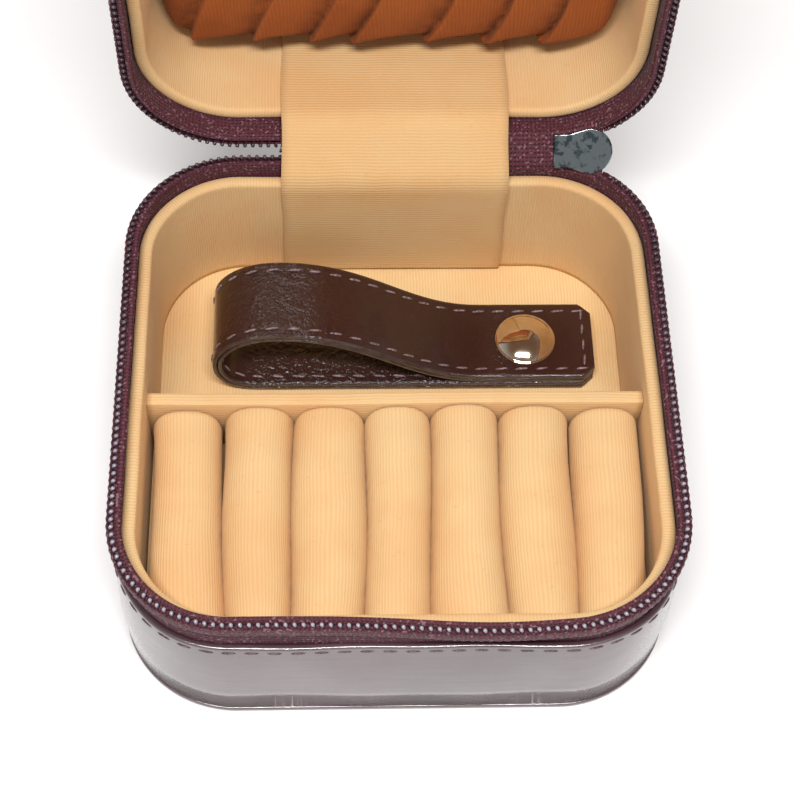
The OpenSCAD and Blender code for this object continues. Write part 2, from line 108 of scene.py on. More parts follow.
def gridPiece(name, points, u, v, material, body, *stands, slot=None, form="tube", masks=(), thick=None,
              turnUv=False):
    # points (rows, cols, 3) in mm, or such a grid for every copy
    # u runs along the rows and v across them, with one value more where that direction is closed
    # form: a tube with capped ends, a ring closed both ways, a plate with flat faces, or an open sheet
    rows, cols = points.shape[-3:-1]
    quads, uvIndex = gridFaces(rows, cols, form in ("ring", "plate"), form in ("ring", "tube"))
    uv = np.stack(np.broadcast_arrays(np.reshape(u, (len(u), -1)), np.atleast_2d(v)), -1).reshape(-1, 2)
    caps, points = gridCaps(rows, cols, form), points.reshape(-1, 3)
    first = np.arange(0, len(points), rows * cols)[:, None, None]
    quads, caps = (quads + first).reshape(-1, 4), (caps + first).reshape(-1, caps.shape[1])
    loopUv = np.tile(uv[:, ::-1 if turnUv else 1][uvIndex], (len(first), 1, 1))
    fans = spread(caps[:, :1], caps[:, 1:-1], caps[:, 2:]).reshape(-1, 3)
    a, b, c = points[np.concatenate([quads[:, :3], quads[:, [0, 2, 3]], fans])].transpose(1, 0, 2)
    if form != "sheet" and np.einsum("ij,ij->", a, np.cross(b, c)) < 0:      # the volume of an inside-out shape
        quads, loopUv, caps = quads[:, ::-1], loopUv[:, ::-1], caps[:, ::-1]
    loops = np.concatenate([quads.ravel(), caps.ravel()])
    uvs = np.concatenate([loopUv.reshape(-1, 2), points[caps.ravel(), :2]])
    sizes = np.repeat([4, caps.shape[1]], [len(quads), len(caps)])
    mesh = bpy.data.meshes.new(name)
    mesh.vertices.add(len(points))
    mesh.vertices.foreach_set("co", (points * mm).ravel())
    mesh.loops.add(len(loops))
    mesh.loops.foreach_set("vertex_index", loops.astype(np.int32))
    mesh.polygons.add(len(sizes))
    mesh.polygons.foreach_set("loop_start", (np.cumsum(sizes) - sizes).astype(np.int32))
    mesh.polygons.foreach_set("use_smooth", np.arange(len(sizes)) < len(quads))
    mesh.uv_layers.new(name="cloth").data.foreach_set("uv", uvs.astype(np.float32).ravel())
    for key, values in dict(masks).items():
        layer = mesh.attributes.new(key, "FLOAT", "POINT")
        layer.data.foreach_set("value", np.broadcast_to(values, (rows, cols)).astype(np.float32).ravel())
    mesh.update(calc_edges=True)
    mesh.validate()
    mesh.materials.append(material)
    obj = addObject(name, mesh)
    if thick:
        solid = obj.modifiers.new("thickness", "SOLIDIFY")
        solid.thickness, solid.offset = thick[0] * mm, thick[1]
    if body:
        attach(obj, body)
    if stands:
        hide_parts(*stands)
    return obj


# lines and sections
def unit(vectors):
    # each vector divided by its length
    return vectors / np.linalg.norm(vectors, axis=-1, keepdims=True)


def turns(count, perTurn=None):
    # angles of evenly spread points; without perTurn they make one full turn
    return np.arange(count) * 2 * math.pi / (perTurn or count)


def joined(loop):
    # a loop with its first point again at the end
    return np.concatenate([loop, loop[:1]])


def filletLoop(points, radii, steps=4, closed=True):
    # a polygon whose corners are rounded by quadratic curves that start and end a radius from the corner
    pts = np.asarray(points, float)
    out = []
    for k, (p, r) in enumerate(zip(pts, radii)):
        if r == 0 or (not closed and k in (0, len(pts) - 1)):
            out.append(p[None])
            continue
        a, b = unit(pts[k - 1] - p) * r, unit(pts[(k + 1) % len(pts)] - p) * r
        t = np.linspace(0, 1, steps + 1)[:, None]
        out.append(p + a * (1 - t) ** 2 + b * t ** 2)
    return np.concatenate(out)


def bezier(a, b, c, d, n):
    # a cubic curve from a to d that leaves toward b and arrives from c
    t = np.linspace(0, 1, n)[:, None]
    a, b, c, d = (np.array(p, float) for p in (a, b, c, d))
    return (1 - t) ** 3 * a + 3 * (1 - t) ** 2 * t * b + 3 * (1 - t) * t ** 2 * c + t ** 3 * d


def runLength(points):
    # distance along a line of points, from its first
    return np.concatenate([[0], np.cumsum(np.linalg.norm(np.diff(points, axis=0), axis=1))])


def resample(points, step):
    # points at even steps of the running length
    d = runLength(points)
    t = np.linspace(0, d[-1], max(2, int(round(d[-1] / step)) + 1))
    return np.stack([np.interp(t, d, points[:, k]) for k in range(points.shape[1])], 1)


def girthOf(loop):
    # distance round a closed loop, from its first point
    return runLength(joined(loop))


def resampleLoop(loop, step):
    # the same even steps round a closed loop
    return resample(joined(loop), step)[:-1]


def tube(path, reference, radius, sides):
    # circles of the given radius round a path; reference fixes where each circle starts
    tangent = unit(np.gradient(path, axis=0))
    side = unit(np.cross(tangent, reference))
    up = np.cross(side, tangent)
    a = turns(sides)
    ring = np.cos(a)[None, :, None] * side[:, None] + np.sin(a)[None, :, None] * up[:, None]
    return path[:, None] + ring * np.broadcast_to(radius, len(path))[:, None, None]


# the case's outline
cornerR = wall["corner"]
flatX, flatY, arcLen = halfX - cornerR, halfY - cornerR, math.pi * cornerR / 2
knotS = np.cumsum([0, flatX, arcLen, 2 * flatY, arcLen, 2 * flatX, arcLen, 2 * flatY, arcLen, flatX])
knotAngle = np.radians([90, 90, 180, 180, 270, 270, 360, 360, 450, 450])
knotX = np.array([0, -1, -1, -1, -1, 1, 1, 1, 1, 0]) * flatX
knotY = np.array([1, 1, 1, -1, -1, -1, -1, 1, 1, 1]) * flatY
planLen = knotS[-1]


def planSpot(s):
    # centre of curvature and outward angle at distance s, counted from the middle of the back by the left
    s = np.mod(s, planLen)
    return np.interp(s, knotS, knotX), np.interp(s, knotS, knotY), np.interp(s, knotS, knotAngle)


def outwardAt(angle):
    # unit direction out of the plan at an angle
    return spread(np.cos(angle), np.sin(angle), 0.0)


def alongAt(angle):
    # unit direction along the edge, a quarter turn on from the outward one
    return spread(-np.sin(angle), np.cos(angle), 0.0)


def sweepPlan(s, out, height):
    # P(s, profile) = centre(s) + (corner radius + out) * outward direction, at that height
    cx, cy, a = (t[:, None] for t in planSpot(s))
    out, height = np.broadcast_arrays(np.atleast_2d(out), np.atleast_2d(height))
    r = cornerR + out
    return spread(cx + r * np.cos(a), cy + r * np.sin(a), height)


def toLid(p):
    # the same point of the lid half, which stands open at a right angle behind the hinge
    return np.stack([p[..., 0], hingeSum - p[..., 2], hingeSum - p[..., 1]], -1)


def wallLift(s, z, wave):
    # how far the hand-made wall bulges out of true at s and z
    return wave * (np.sin(s * 0.11) + 0.6 * np.sin(s * 0.29 + 1.3)) * np.sin(z * 0.17)


def wallSag(s, share, sag):
    # how far the top edge dips at s; share is 1 at the top and 0 from two thirds of the height down
    return sag * (0.5 + 0.5 * np.sin(s * 0.075 + 2.2) * np.sin(s * 0.031 + 0.4)) * share


def halfPiece(half, name, p, u, v, *finish, **rest):
    # a piece of one half, its points moved to that half's place
    material, *stands = finish
    return gridPiece(name, half["place"](p), u, v, material, half["body"], *stands, **rest)


def planRing(half, name, node, profile, material, wave, sag=0.0, **rest):
    # a closed section carried round the plan
    s = np.arange(0, planLen, planLen / 340)
    p = sweepPlan(s, profile[:, 0], profile[:, 1])
    lift = wallLift(s[:, None], p[..., 2], wave)
    p = p + lift[..., None] * outwardAt(planSpot(s)[2])[:, None]
    top = np.clip(p[..., 2] / p[..., 2].max() * 3 - 2, 0, 1)
    p[..., 2] -= wallSag(s[:, None], top, sag)
    halfPiece(half, half["body"] + name, p, np.append(s, planLen), girthOf(profile), material, node,
              form="ring", **rest)


def planPlate(half, name, node, profile, material, slot):
    # a section from the underside's middle round the edge to the top's middle, closed by flat faces
    p = sweepPlan(np.arange(0, planLen, planLen / 300), profile[:, 0], profile[:, 1])
    flat = joined(p)
    return halfPiece(half, half["body"] + name, p, flat[..., 0], flat[..., 1], material, node, slot=slot,
                     form="plate")


def stitchRow(name, spots, along, outward, dash, material, body):
    # one low rounded dash for each spot: a tapered tube whose middle rises from the leather
    length, thick, height = dash
    t, a = np.linspace(-1, 1, 7), turns(8)
    girth = np.sqrt(np.clip(1 - (np.abs(t) ** 3), 0, 1)) * 0.5 + 0.05
    x = (t * length / 2)[:, None] + 0 * a
    y = girth[:, None] * np.cos(a) * thick
    z = girth[:, None] * np.sin(a) * thick + (height * (1 - t ** 2))[:, None]
    p = spots[:, None, None] + sum(size[None, ..., None] * axis[:, None, None] for size, axis in (
        (x, along), (y, np.cross(outward, along)), (z, outward)))
    return gridPiece(name, p, t * length / 2, np.linspace(0, thick * 3, 9), material, body)


print("mesh tools ready")

# shader building
def setInputs(tree, node, values):
    # sockets are linked; numbers, vectors and colours are written in
    for key, value in dict(values).items():
        if isinstance(value, bpy.types.NodeSocket):
            tree.links.new(value, node.inputs[key])
        else:
            node.inputs[key].default_value = value
    return node


def addNode(tree, kind, inputs=(), **settings):
    node = tree.nodes.new("ShaderNode" + kind)
    for key, value in settings.items():
        setattr(node, key, value)
    return setInputs(tree, node, inputs)


def mathNode(tree, operation, *values):
    return addNode(tree, "Math", enumerate(values), operation=operation).outputs[0]


def plus(tree, a, b):
    return mathNode(tree, "ADD", a, b)


def times(tree, a, b):
    return mathNode(tree, "MULTIPLY", a, b)


def timesPlus(tree, a, b, c):
    return mathNode(tree, "MULTIPLY_ADD", a, b, c)


def sineOf(tree, value, factor):
    return mathNode(tree, "SINE", times(tree, value, factor))


def noiseNode(tree, vector, scale, detail=2.0, rough=0.5):
    inputs = {"Vector": vector, "Scale": scale, "Detail": detail, "Roughness": rough}
    return addNode(tree, "TexNoise", inputs).outputs["Fac"]


def smoothStep(tree, value, low, high, outLow=0.0, outHigh=1.0):
    inputs = {"Value": value, "From Min": low, "From Max": high, "To Min": outLow, "To Max": outHigh}
    return addNode(tree, "MapRange", inputs, interpolation_type="SMOOTHSTEP").outputs["Result"]


def mixColour(tree, factor, a, b):
    a, b = ((*c, 1.0) if isinstance(c, tuple) else c for c in (a, b))
    return addNode(tree, "Mix", {0: factor, 6: a, 7: b}, data_type="RGBA").outputs[2]


def clothUv(tree):
    return addNode(tree, "UVMap", uv_map="cloth").outputs[0]


def objectPlace(tree):
    return addNode(tree, "TexCoord").outputs["Object"]


def splitVector(tree, vector):
    return addNode(tree, "SeparateXYZ", {0: vector}).outputs


def attributeValue(tree, name):
    return addNode(tree, "Attribute", attribute_name=name).outputs["Fac"]


def finishShader(material, height, depth, inputs, normals=("Normal",)):
    # link the shader's colour, and a relief of that depth
    tree = material.node_tree
    normal = addNode(tree, "Bump", {"Distance": depth, "Height": height}).outputs["Normal"]
    setInputs(tree, tree.nodes["Principled BSDF"], {**inputs, **{key: normal for key in normals}})
    return material


def newGroup(name, inputs, outputs):
    # an input without a number is a vector
    group = bpy.data.node_groups.new(name, "ShaderNodeTree")
    for label, value in inputs.items():
        kind = "NodeSocketVector" if value is None else "NodeSocketFloat"
        socket = group.interface.new_socket(label, in_out="INPUT", socket_type=kind)
        if value is not None:
            socket.default_value = value
    for label in outputs:
        group.interface.new_socket(label, in_out="OUTPUT", socket_type="NodeSocketFloat")
    return group, group.nodes.new("NodeGroupInput").outputs, group.nodes.new("NodeGroupOutput")


def newMaterial(name, **constants):
    # a material with these constants in its shader; an underscore stands for a socket name's space
    material = bpy.data.materials.new(name)
    material.use_nodes = True
    tree = material.node_tree
    values = {key.replace("_", " "): value for key, value in constants.items()}
    setInputs(tree, tree.nodes["Principled BSDF"], values)
    return material, tree


def ribGroup():
    # raised ribs across U, fine threads across V and a little fuzz; UV is in millimetres
    ribs = {"wobbleScale": 0.12, "wobble": 0.6, "threadPitch": 0.34, "thread": 0.12, "fuzzScale": 5.0,
            "fuzz": 0.7}
    g, given, out = newGroup("ribbedWeave", {"UV": None, "Pitch": 0.6}, ("Height", "Groove"))
    split = splitVector(g, given["UV"])
    wobble = times(g, noiseNode(g, given["UV"], ribs["wobbleScale"], 1.0), ribs["wobble"])
    turn = mathNode(g, "DIVIDE", plus(g, split[0], wobble), given["Pitch"])
    rib = timesPlus(g, sineOf(g, turn, 2 * math.pi), 0.5, 0.5)
    thread = sineOf(g, split[1], 2 * math.pi / ribs["threadPitch"])
    fuzz = noiseNode(g, given["UV"], ribs["fuzzScale"], 2.0, 0.7)
    height = plus(g, plus(g, rib, times(g, thread, ribs["thread"])), times(g, fuzz, ribs["fuzz"]))
    setInputs(g, out, {"Height": height, "Groove": timesPlus(g, rib, -1.0, 1.0)})
    return g


def grainGroup():
    # leather: cell borders sunk between rounded pebbles, with broad creases over them
    grain = {"border": 0.22, "pebble": 0.5, "creaseScale": 260.0}
    g, given, out = newGroup("leatherGrain", {"Vector": None, "Scale": 1500.0}, ("Height",))
    cells = addNode(g, "TexVoronoi", {"Vector": given["Vector"], "Scale": given["Scale"]},
                    feature="DISTANCE_TO_EDGE")
    pebbles = times(g, smoothStep(g, cells.outputs["Distance"], 0.0, grain["border"]), grain["pebble"])
    broad = noiseNode(g, given["Vector"], grain["creaseScale"], 4.0, 0.6)
    setInputs(g, out, {"Height": plus(g, pebbles, broad)})
    return g


def wearAndShadeGroup():
    # an edge mask broken up by noise, for rubbed leather edges and for the cloth's soiling and painted shade in
    # creases
    g, given, out = newGroup("wearAndShade", {"Vector": None, "Edge": 0.0, "Scale": 300.0}, ("Mask",))
    broken = smoothStep(g, noiseNode(g, given["Vector"], given["Scale"], 5.0), 0.3, 0.7, 0.35, 1.0)
    setInputs(g, out, {"Mask": times(g, given["Edge"], broken)})
    return g


ribWeave, leatherGrain, wearAndShade = ribGroup(), grainGroup(), wearAndShadeGroup()


def wearAndShadeMask(tree, place, attribute, scale):
    # where a stored mask shows, broken up by noise
    inputs = {"Vector": place, "Edge": attributeValue(tree, attribute), "Scale": scale}
    return addNode(tree, "Group", inputs, node_tree=wearAndShade).outputs["Mask"]


# materials
cloth = {"pitch": 0.62, "bump": 0.00005, "blotchScale": 55.0, "grooveShare": 0.30, "fleckScale": 900.0,
         "fleck": 0.25, "soilAndShadeScale": 420.0}


def clothMaterial(name, light, warm, groove=(0.58, 0.31, 0.12), soilAndShade=(0.25, 0.12, 0.06), sheen=0.25):
    # ribbed cloth: slow blotches from light to warm, grooves darkened as painted shade, darker flecks, and the
    # soilAndShade colour where that mask is set
    material, tree = newMaterial(name, Roughness=0.88, Sheen_Weight=sheen, Sheen_Roughness=0.5,
                                 Sheen_Tint=(1.0, 0.78, 0.52, 1.0), Specular_IOR_Level=0.2)
    weave = addNode(tree, "Group", {"UV": clothUv(tree), "Pitch": cloth["pitch"]}, node_tree=ribWeave).outputs
    place = objectPlace(tree)
    blotch = smoothStep(tree, noiseNode(tree, place, cloth["blotchScale"], 3.0, 0.6), 0.35, 0.68)
    colour = mixColour(tree, blotch, light, warm)
    # painted shade: the rib grooves are mixed towards the groove colour
    colour = mixColour(tree, times(tree, weave["Groove"], cloth["grooveShare"]), colour, groove)
    fleck = smoothStep(tree, noiseNode(tree, place, cloth["fleckScale"], 1.0), 0.70, 0.78, 0.0, cloth["fleck"])
    colour = mixColour(tree, fleck, colour, groove)
    # the soilAndShade mask: soiling, and painted shade in creases, folds and along the lid's lip
    colour = mixColour(tree, wearAndShadeMask(tree, place, "soilAndShade", cloth["soilAndShadeScale"]), colour, soilAndShade)
    return finishShader(material, weave["Height"], cloth["bump"], {"Base Color": colour})


tanCloth = clothMaterial("tanCloth", (0.755, 0.525, 0.268), (0.745, 0.465, 0.222))
# painted light: the base's floor pad gets a lighter copy of the tan cloth
paintedLightFloorCloth = clothMaterial("paintedLightFloorCloth", (0.87, 0.64, 0.335), (0.86, 0.57, 0.28))
# painted shade: the hinge panel gets a darker copy of the tan cloth
paintedShadePanelCloth = clothMaterial("paintedShadePanelCloth", (0.70, 0.465, 0.228), (0.69, 0.42, 0.19), sheen=0.2)
# painted shade: the pocket is the lining's tan cloth, coloured a dark rust for the shade it sits in; its fourth
# colour is the painted shade in its folds
paintedShadePocketCloth = clothMaterial("paintedShadePocketCloth", (0.345, 0.088, 0.0165), (0.29, 0.067, 0.0115), (0.18, 0.037, 0.007),
                          (0.035, 0.008, 0.003), 0.06)
leather = {"cloudScale": 38.0, "rubScale": 500.0, "streakStretch": (0.06, 0.9, 1.0), "mottleScale": 90.0,
           "mottle": 0.22, "rubRough": 0.3, "wrinkleScale": 900.0, "wrinkle": 34.0}


def leatherMaterial(name, colour, deep, rubbed, scale, depth, rough, streak, **constants):
    # streak: how strongly fine lines along the wall show in the shine and the relief
    material, tree = newMaterial(name, **constants)
    place = objectPlace(tree)
    grain = addNode(tree, "Group", {"Vector": place, "Scale": scale}, node_tree=leatherGrain).outputs["Height"]
    cloud = smoothStep(tree, noiseNode(tree, place, leather["cloudScale"], 4.0, 0.6), 0.3, 0.72)
    # on the strap's edges this mask is real wear
    wearAndHighlight = wearAndShadeMask(tree, place, "wearAndHighlight", leather["rubScale"])
    stretched = addNode(tree, "Mapping", {"Vector": clothUv(tree), "Scale": leather["streakStretch"]}).outputs[0]
    lines = noiseNode(tree, stretched, 1.0, 5.0, 0.7)
    mottle = noiseNode(tree, place, leather["mottleScale"], 3.0)
    shine = timesPlus(tree, mottle, leather["mottle"], rough - 0.08)
    shine = plus(tree, shine, times(tree, wearAndHighlight, leather["rubRough"]))
    tint = mixColour(tree, wearAndHighlight, mixColour(tree, cloud, colour, deep), rubbed)
    crease = times(tree, attributeValue(tree, "crease"), leather["wrinkle"])
    wrinkle = times(tree, noiseNode(tree, place, leather["wrinkleScale"], 3.0, 0.6), crease)
    height = timesPlus(tree, lines, streak * 2.0, plus(tree, grain, wrinkle))
    inputs = {"Base Color": tint, "Roughness": timesPlus(tree, lines, streak, shine)}
    return finishShader(material, height, depth, inputs, ("Normal", "Coat Normal"))


burgundyLeather = leatherMaterial(
    "burgundyLeather", (0.055, 0.013, 0.022), (0.034, 0.008, 0.014), (0.09, 0.045, 0.05), scale=1300.0,
    depth=0.000016, rough=0.30, streak=0.22, IOR=1.75, Coat_Weight=1.0, Coat_Roughness=0.14, Coat_IOR=1.9)
brownLeather = leatherMaterial(
    "brownLeather", (0.033, 0.0075, 0.0062), (0.024, 0.0052, 0.0046), (0.085, 0.062, 0.055), scale=1900.0,
    depth=0.00004, rough=0.34, streak=0.0, IOR=1.36, Coat_Weight=0.78, Coat_Roughness=0.06, Coat_IOR=1.57)


def tapeMaterial():
    # knitted rows: two slanted sines make the loops, bright points of light sit on their tops
    knit = {"ribPitch": 0.85, "rowPitch": 0.78, "slant": 0.35, "fuzzScale": 2600.0, "sparkScale": 1900.0,
            "bump": 0.00016}
    material, tree = newMaterial("zipTapeKnit", Roughness=0.65, Sheen_Weight=0.08, Sheen_Roughness=0.4,
                                 Specular_IOR_Level=0.3)
    along, across = splitVector(tree, clothUv(tree))[:2]
    zig = mathNode(tree, "ABSOLUTE", sineOf(tree, across, math.pi / knit["ribPitch"]))
    row = sineOf(tree, plus(tree, along, times(tree, zig, knit["slant"])), 2 * math.pi / knit["rowPitch"])
    loops = plus(tree, times(tree, zig, 0.6), timesPlus(tree, row, 0.25, 0.25))
    place = objectPlace(tree)
    height = plus(tree, loops, times(tree, noiseNode(tree, place, knit["fuzzScale"], 2.0), 0.8))
    # painted shade: the hollows between the loops are coloured dark and the loop tops light; the fuzz noise in
    # the height breaks this up
    colour = mixColour(tree, smoothStep(tree, height, 0.45, 1.3), (0.018, 0.0055, 0.008), (0.105, 0.022, 0.036))
    spark = smoothStep(tree, noiseNode(tree, place, knit["sparkScale"], 0.0), 0.64, 0.74, 0.0, 0.42)
    colour = mixColour(tree, spark, colour, (0.42, 0.24, 0.28))
    return finishShader(material, height, knit["bump"], {"Base Color": colour})


def nylonMaterial():
    # dark glossy filament; its heads get a painted highlight, a pale colour laid on by the wearAndHighlight mask
    material, tree = newMaterial("zipNylon", Roughness=0.28, IOR=1.55, Coat_Weight=0.4, Coat_Roughness=0.1)
    place = objectPlace(tree)
    colour = mixColour(tree, noiseNode(tree, place, 700.0), (0.020, 0.008, 0.014), (0.050, 0.018, 0.030))
    wearAndHighlight = times(tree, attributeValue(tree, "wearAndHighlight"), 0.85)
    colour = mixColour(tree, wearAndHighlight, colour, (0.46, 0.44, 0.51))
    return finishShader(material, noiseNode(tree, place, 3000.0, 1.0), 0.00002, {"Base Color": colour})


def steelMaterial(name, bright, dull, low, high, scale):
    # low and high: roughness of the bright and of the dull spots
    material, tree = newMaterial(name, Metallic=1.0)
    place = objectPlace(tree)
    spot = smoothStep(tree, noiseNode(tree, place, scale, 5.0, 0.65), 0.42, 0.60)
    inputs = {"Base Color": mixColour(tree, spot, bright, dull),
              "Roughness": timesPlus(tree, spot, high - low, low)}
    return finishShader(material, noiseNode(tree, place, scale * 2.5, 3.0), 0.00001, inputs)


def fibreMaterial(name, dark, light, scale, roughness):
    # boards and threads: two tones broken by fibres
    material, tree = newMaterial(name, Roughness=roughness)
    fibre = noiseNode(tree, objectPlace(tree), scale, 4.0, 0.7)
    colour = mixColour(tree, smoothStep(tree, fibre, 0.35, 0.65), dark, light)
    return finishShader(material, fibre, 0.00008, {"Base Color": colour})


knitTape, nylon = tapeMaterial(), nylonMaterial()
wornSteel = steelMaterial("wornSteel", (0.31, 0.35, 0.37), (0.030, 0.040, 0.045), 0.14, 0.40, 560.0)
polishedSteel = steelMaterial("polishedSteel", (0.86, 0.75, 0.62), (0.78, 0.67, 0.54), 0.05, 0.11, 240.0)
fibreBoard = fibreMaterial("fibreBoard", (0.30, 0.24, 0.18), (0.45, 0.37, 0.28), 900.0, 0.9)
stitchThread = fibreMaterial("stitchThread", (0.055, 0.026, 0.028), (0.36, 0.26, 0.27), 2400.0, 0.42)
seamThread = fibreMaterial("seamThread", (0.030, 0.010, 0.014), (0.16, 0.10, 0.11), 2400.0, 0.35)
print("materials ready")

# camera
view = {"place": (-10.42, -174.48, 309.22), "ahead": (0.0322, 0.5254, -0.8503),
        "right": (0.9995, -0.0223, 0.0241), "focalPixels": 1806.0, "frame": 794}
ahead = Vector(view["ahead"]).normalized()
rightward = Vector(view["right"])
rightward = (rightward - ahead * rightward.dot(ahead)).normalized()
cameraData = bpy.data.cameras.new("camera")
cameraData.lens = view["focalPixels"] / view["frame"] * cameraData.sensor_width
cameraData.clip_start = 0.01
camera = addObject("camera", cameraData)
facing = Matrix((rightward, rightward.cross(ahead), -ahead)).transposed().to_4x4()
camera.matrix_world = Matrix.Translation(Vector(view["place"]) * mm) @ facing
bpy.context.scene.camera = camera

# floor and light
studio = {"floorHalf": 2.0, "skyLow": 0.74, "skyHigh": 0.18, "skyFrom": 0.1, "skyTo": 0.95,
          "skyPale": (1.0, 0.99, 0.97), "skyWarm": (0.85, 0.50, 0.34), "warmFrom": 0.70, "warmTo": 0.86}
bpy.context.scene.view_settings.view_transform = "Standard"
floorMesh = bpy.data.meshes.new("floor")
side = studio["floorHalf"]
floorMesh.from_pydata([(x * side, y * side, 0) for x, y in ((-1, -1), (1, -1), (1, 1), (-1, 1))], [],
                      [(0, 1, 2, 3)])
floor = addObject("floor", floorMesh)
floorMesh.materials.append(newMaterial("paleFloor", Roughness=0.9, Base_Color=(0.92, 0.92, 0.92, 1))[0])
world = bpy.data.worlds.new("studio")
bpy.context.scene.world = world
world.use_nodes = True
sky = world.node_tree
height = splitVector(sky, addNode(sky, "TexCoord").outputs["Generated"])[2]
warmth = smoothStep(sky, height, studio["warmFrom"], studio["warmTo"])
setInputs(sky, sky.nodes["Background"], {
    "Color": mixColour(sky, warmth, studio["skyPale"], studio["skyWarm"]),
    "Strength": smoothStep(sky, height, studio["skyFrom"], studio["skyTo"], studio["skyLow"], studio["skyHigh"])})
lights = {"topLight": {"power": 1.7, "size": (0.28, 0.28), "place": (-0.05, 0.40, 0.95), "target": (0, 0, 0)},
          "frontLight": {"power": 7.4, "size": (0.5, 0.10), "place": (-0.03, -0.32, 0.806),
                         "target": (0, 0, 0.03)}}
for name, lamp in lights.items():
    data = bpy.data.lights.new(name, "AREA")
    data.shape, data.energy = "RECTANGLE", lamp["power"]
    data.size, data.size_y = lamp["size"]
    light = addObject(name, data)
    light.location = lamp["place"]
    light.rotation_euler = (Vector(lamp["target"]) - Vector(lamp["place"])).to_track_quat("-Z", "Y").to_euler()
print("camera and studio ready")

# shells of the two halves
seam = {"pitch": 3.9, "dash": (2.6, 0.34, 0.05), "below": 1.35, "out": 0.02}
shell = {"bulge": 0.35, "rimRound": 0.55, "plateOut": 0.25, "flatFrom": 3 - cornerR, "wave": 0.16, "sag": 0.7}
lip = {"width": 2.45, "crown": 0.9, "inside": 1.5, "behind": 3.6, "wave": 0.06}
halves = ({"body": "base", "place": np.asarray, "side": "lower", "panel": "base_leather_bottom",
           "pad": "base_floor_pad", "padCloth": paintedLightFloorCloth, "lipDrop": 0.0, "lipShade": 0.0, "toothShift": 0.0,
           "toothHighlight": 1.0},
          {"body": "lid", "place": toLid, "side": "upper", "panel": "lid_leather_top", "pad": "lid_ceiling_pad",
           "padCloth": tanCloth, "lipDrop": 1.5, "lipShade": 1.0, "toothShift": 0.5, "toothHighlight": 0.35})


def leatherShell(half):
    # wall: an upright section that bulges at half height and is rounded at the rim, carried round the plan;
    # panel: a thin rounded edge carried round the plan and closed across it
    body, t, out, flat = half["body"], wall["leather"], shell["plateOut"], shell["flatFrom"]
    section = filletLoop([(0, t), (shell["bulge"], leatherTop * 0.5), (0, leatherTop), (-t, leatherTop), (-t, t)],
                         [0, 5, shell["rimRound"], 0.3, 0], 5)
    planRing(half, "LeatherWall", body + "_leather_wall", section, burgundyLeather, shell["wave"], shell["sag"],
             slot="outer_leather")
    edge = filletLoop([(flat, 0), (out, 0), (out, t + 0.1), (flat, t)], [0, 0.55, 0.4, 0], closed=False)
    planPlate(half, "LeatherPanel", half["panel"], edge, burgundyLeather, "outer_leather")


def liningShell(half):
    # the cloth goes up the card, over the lip and down to the board behind it
    top, face, width, crown = liningTop - half["lipDrop"], liningOut - wall["lining"], lip["width"], lip["crown"]
    back, behind = face + width, top - lip["behind"]
    t = np.linspace(0, math.pi, 11)
    over = np.stack([face + width / 2 + width / 2 * np.cos(t), top - crown + crown * np.sin(t) ** 0.8], 1)
    down = np.stack([np.full(22, face), np.linspace(top - lip["inside"], floorTop, 22)], 1)
    section = np.concatenate([[(back, behind), (back, top - 1.6)], over, down,
                              [(liningOut, floorTop), (liningOut, behind)]])
    # painted shade: on the lid the lip's outer side, next to the tape, is darkened; lipShade is 0 on the base
    soilAndShade = half["lipShade"] * np.clip((section[:, 0] - face - width * 0.80) / (width * 0.2), 0, 1)
    planRing(half, "Lining", half["body"] + "_lining_wall", section, tanCloth, lip["wave"], slot="lining_cloth",
             masks={"soilAndShade": soilAndShade})


def paddedPanel(half):
    # a low slab with a rounded upper rim, carried round the plan and closed across it
    low, out, flat = floorPadLow[2], liningOut, shell["flatFrom"]
    edge = filletLoop([(flat, low), (out, low), (out, floorTop), (out - 1.2, floorTop), (out - 1.6, floorTop),
                       (flat, floorTop)], [0, 0, 0.5, 0, 0, 0], 3, closed=False)
    pad = planPlate(half, "Padding", half["pad"], edge, half["padCloth"], "lining_cloth")


def seamRow(half):
    # one stitch for each pitch of the plan's length, on the bulged wall just below the rim
    count, z, place = int(planLen / seam["pitch"]), leatherTop - seam["below"], half["place"]
    s = np.arange(count) * planLen / count
    a = planSpot(s)[2]
    push = seam["out"] + wallLift(s, z, shell["wave"])
    spots = sweepPlan(s, 0.0, z)[:, 0] + push[:, None] * outwardAt(a)
    spots[:, 2] -= wallSag(s, z / leatherTop * 3 - 2, shell["sag"])
    along, outward = (place(axis) - place(np.zeros(3)) for axis in (alongAt(a), outwardAt(a)))
    stitchRow(half["body"] + "EdgeStitches", place(spots), along, outward, seam["dash"], seamThread, half["body"])


for build in (leatherShell, liningShell, paddedPanel, seamRow):
    for half in halves:
        build(half)
print("shells ready")

# divider and ring rolls
divider = {"proud": 0.75, "round": 0.55, "sag": 0.12}
rolls = {"backEdges": (-45.2, -32.2, -18.6, -5.4, 6.3, 18.8, 32.6, 45.4),
         "frontEdges": (-43.4, -30.3, -19.5, -6.2, 5.7, 18.9, 30.9, 43.0),
         "gaps": (0.9, 0.9, 0.1, 0.1, 0.1, 0.1, 0.5, 0.3), "press": 0.12, "wander": 0.35, "endRound": 1.5,
         "square": 0.84, "flatness": 0.94, "backFull": (0.82, 0.95, 0.95, 0.95, 0.98, 0.95, 0.84),
         "frontFull": 0.82, "rise": (0, 0.5, 0.5, 0.5, 0.9, 0.5, 0.1), "openAt": 0.12, "openRun": 0.25,
         "soilAndShadeFrom": 0.72}


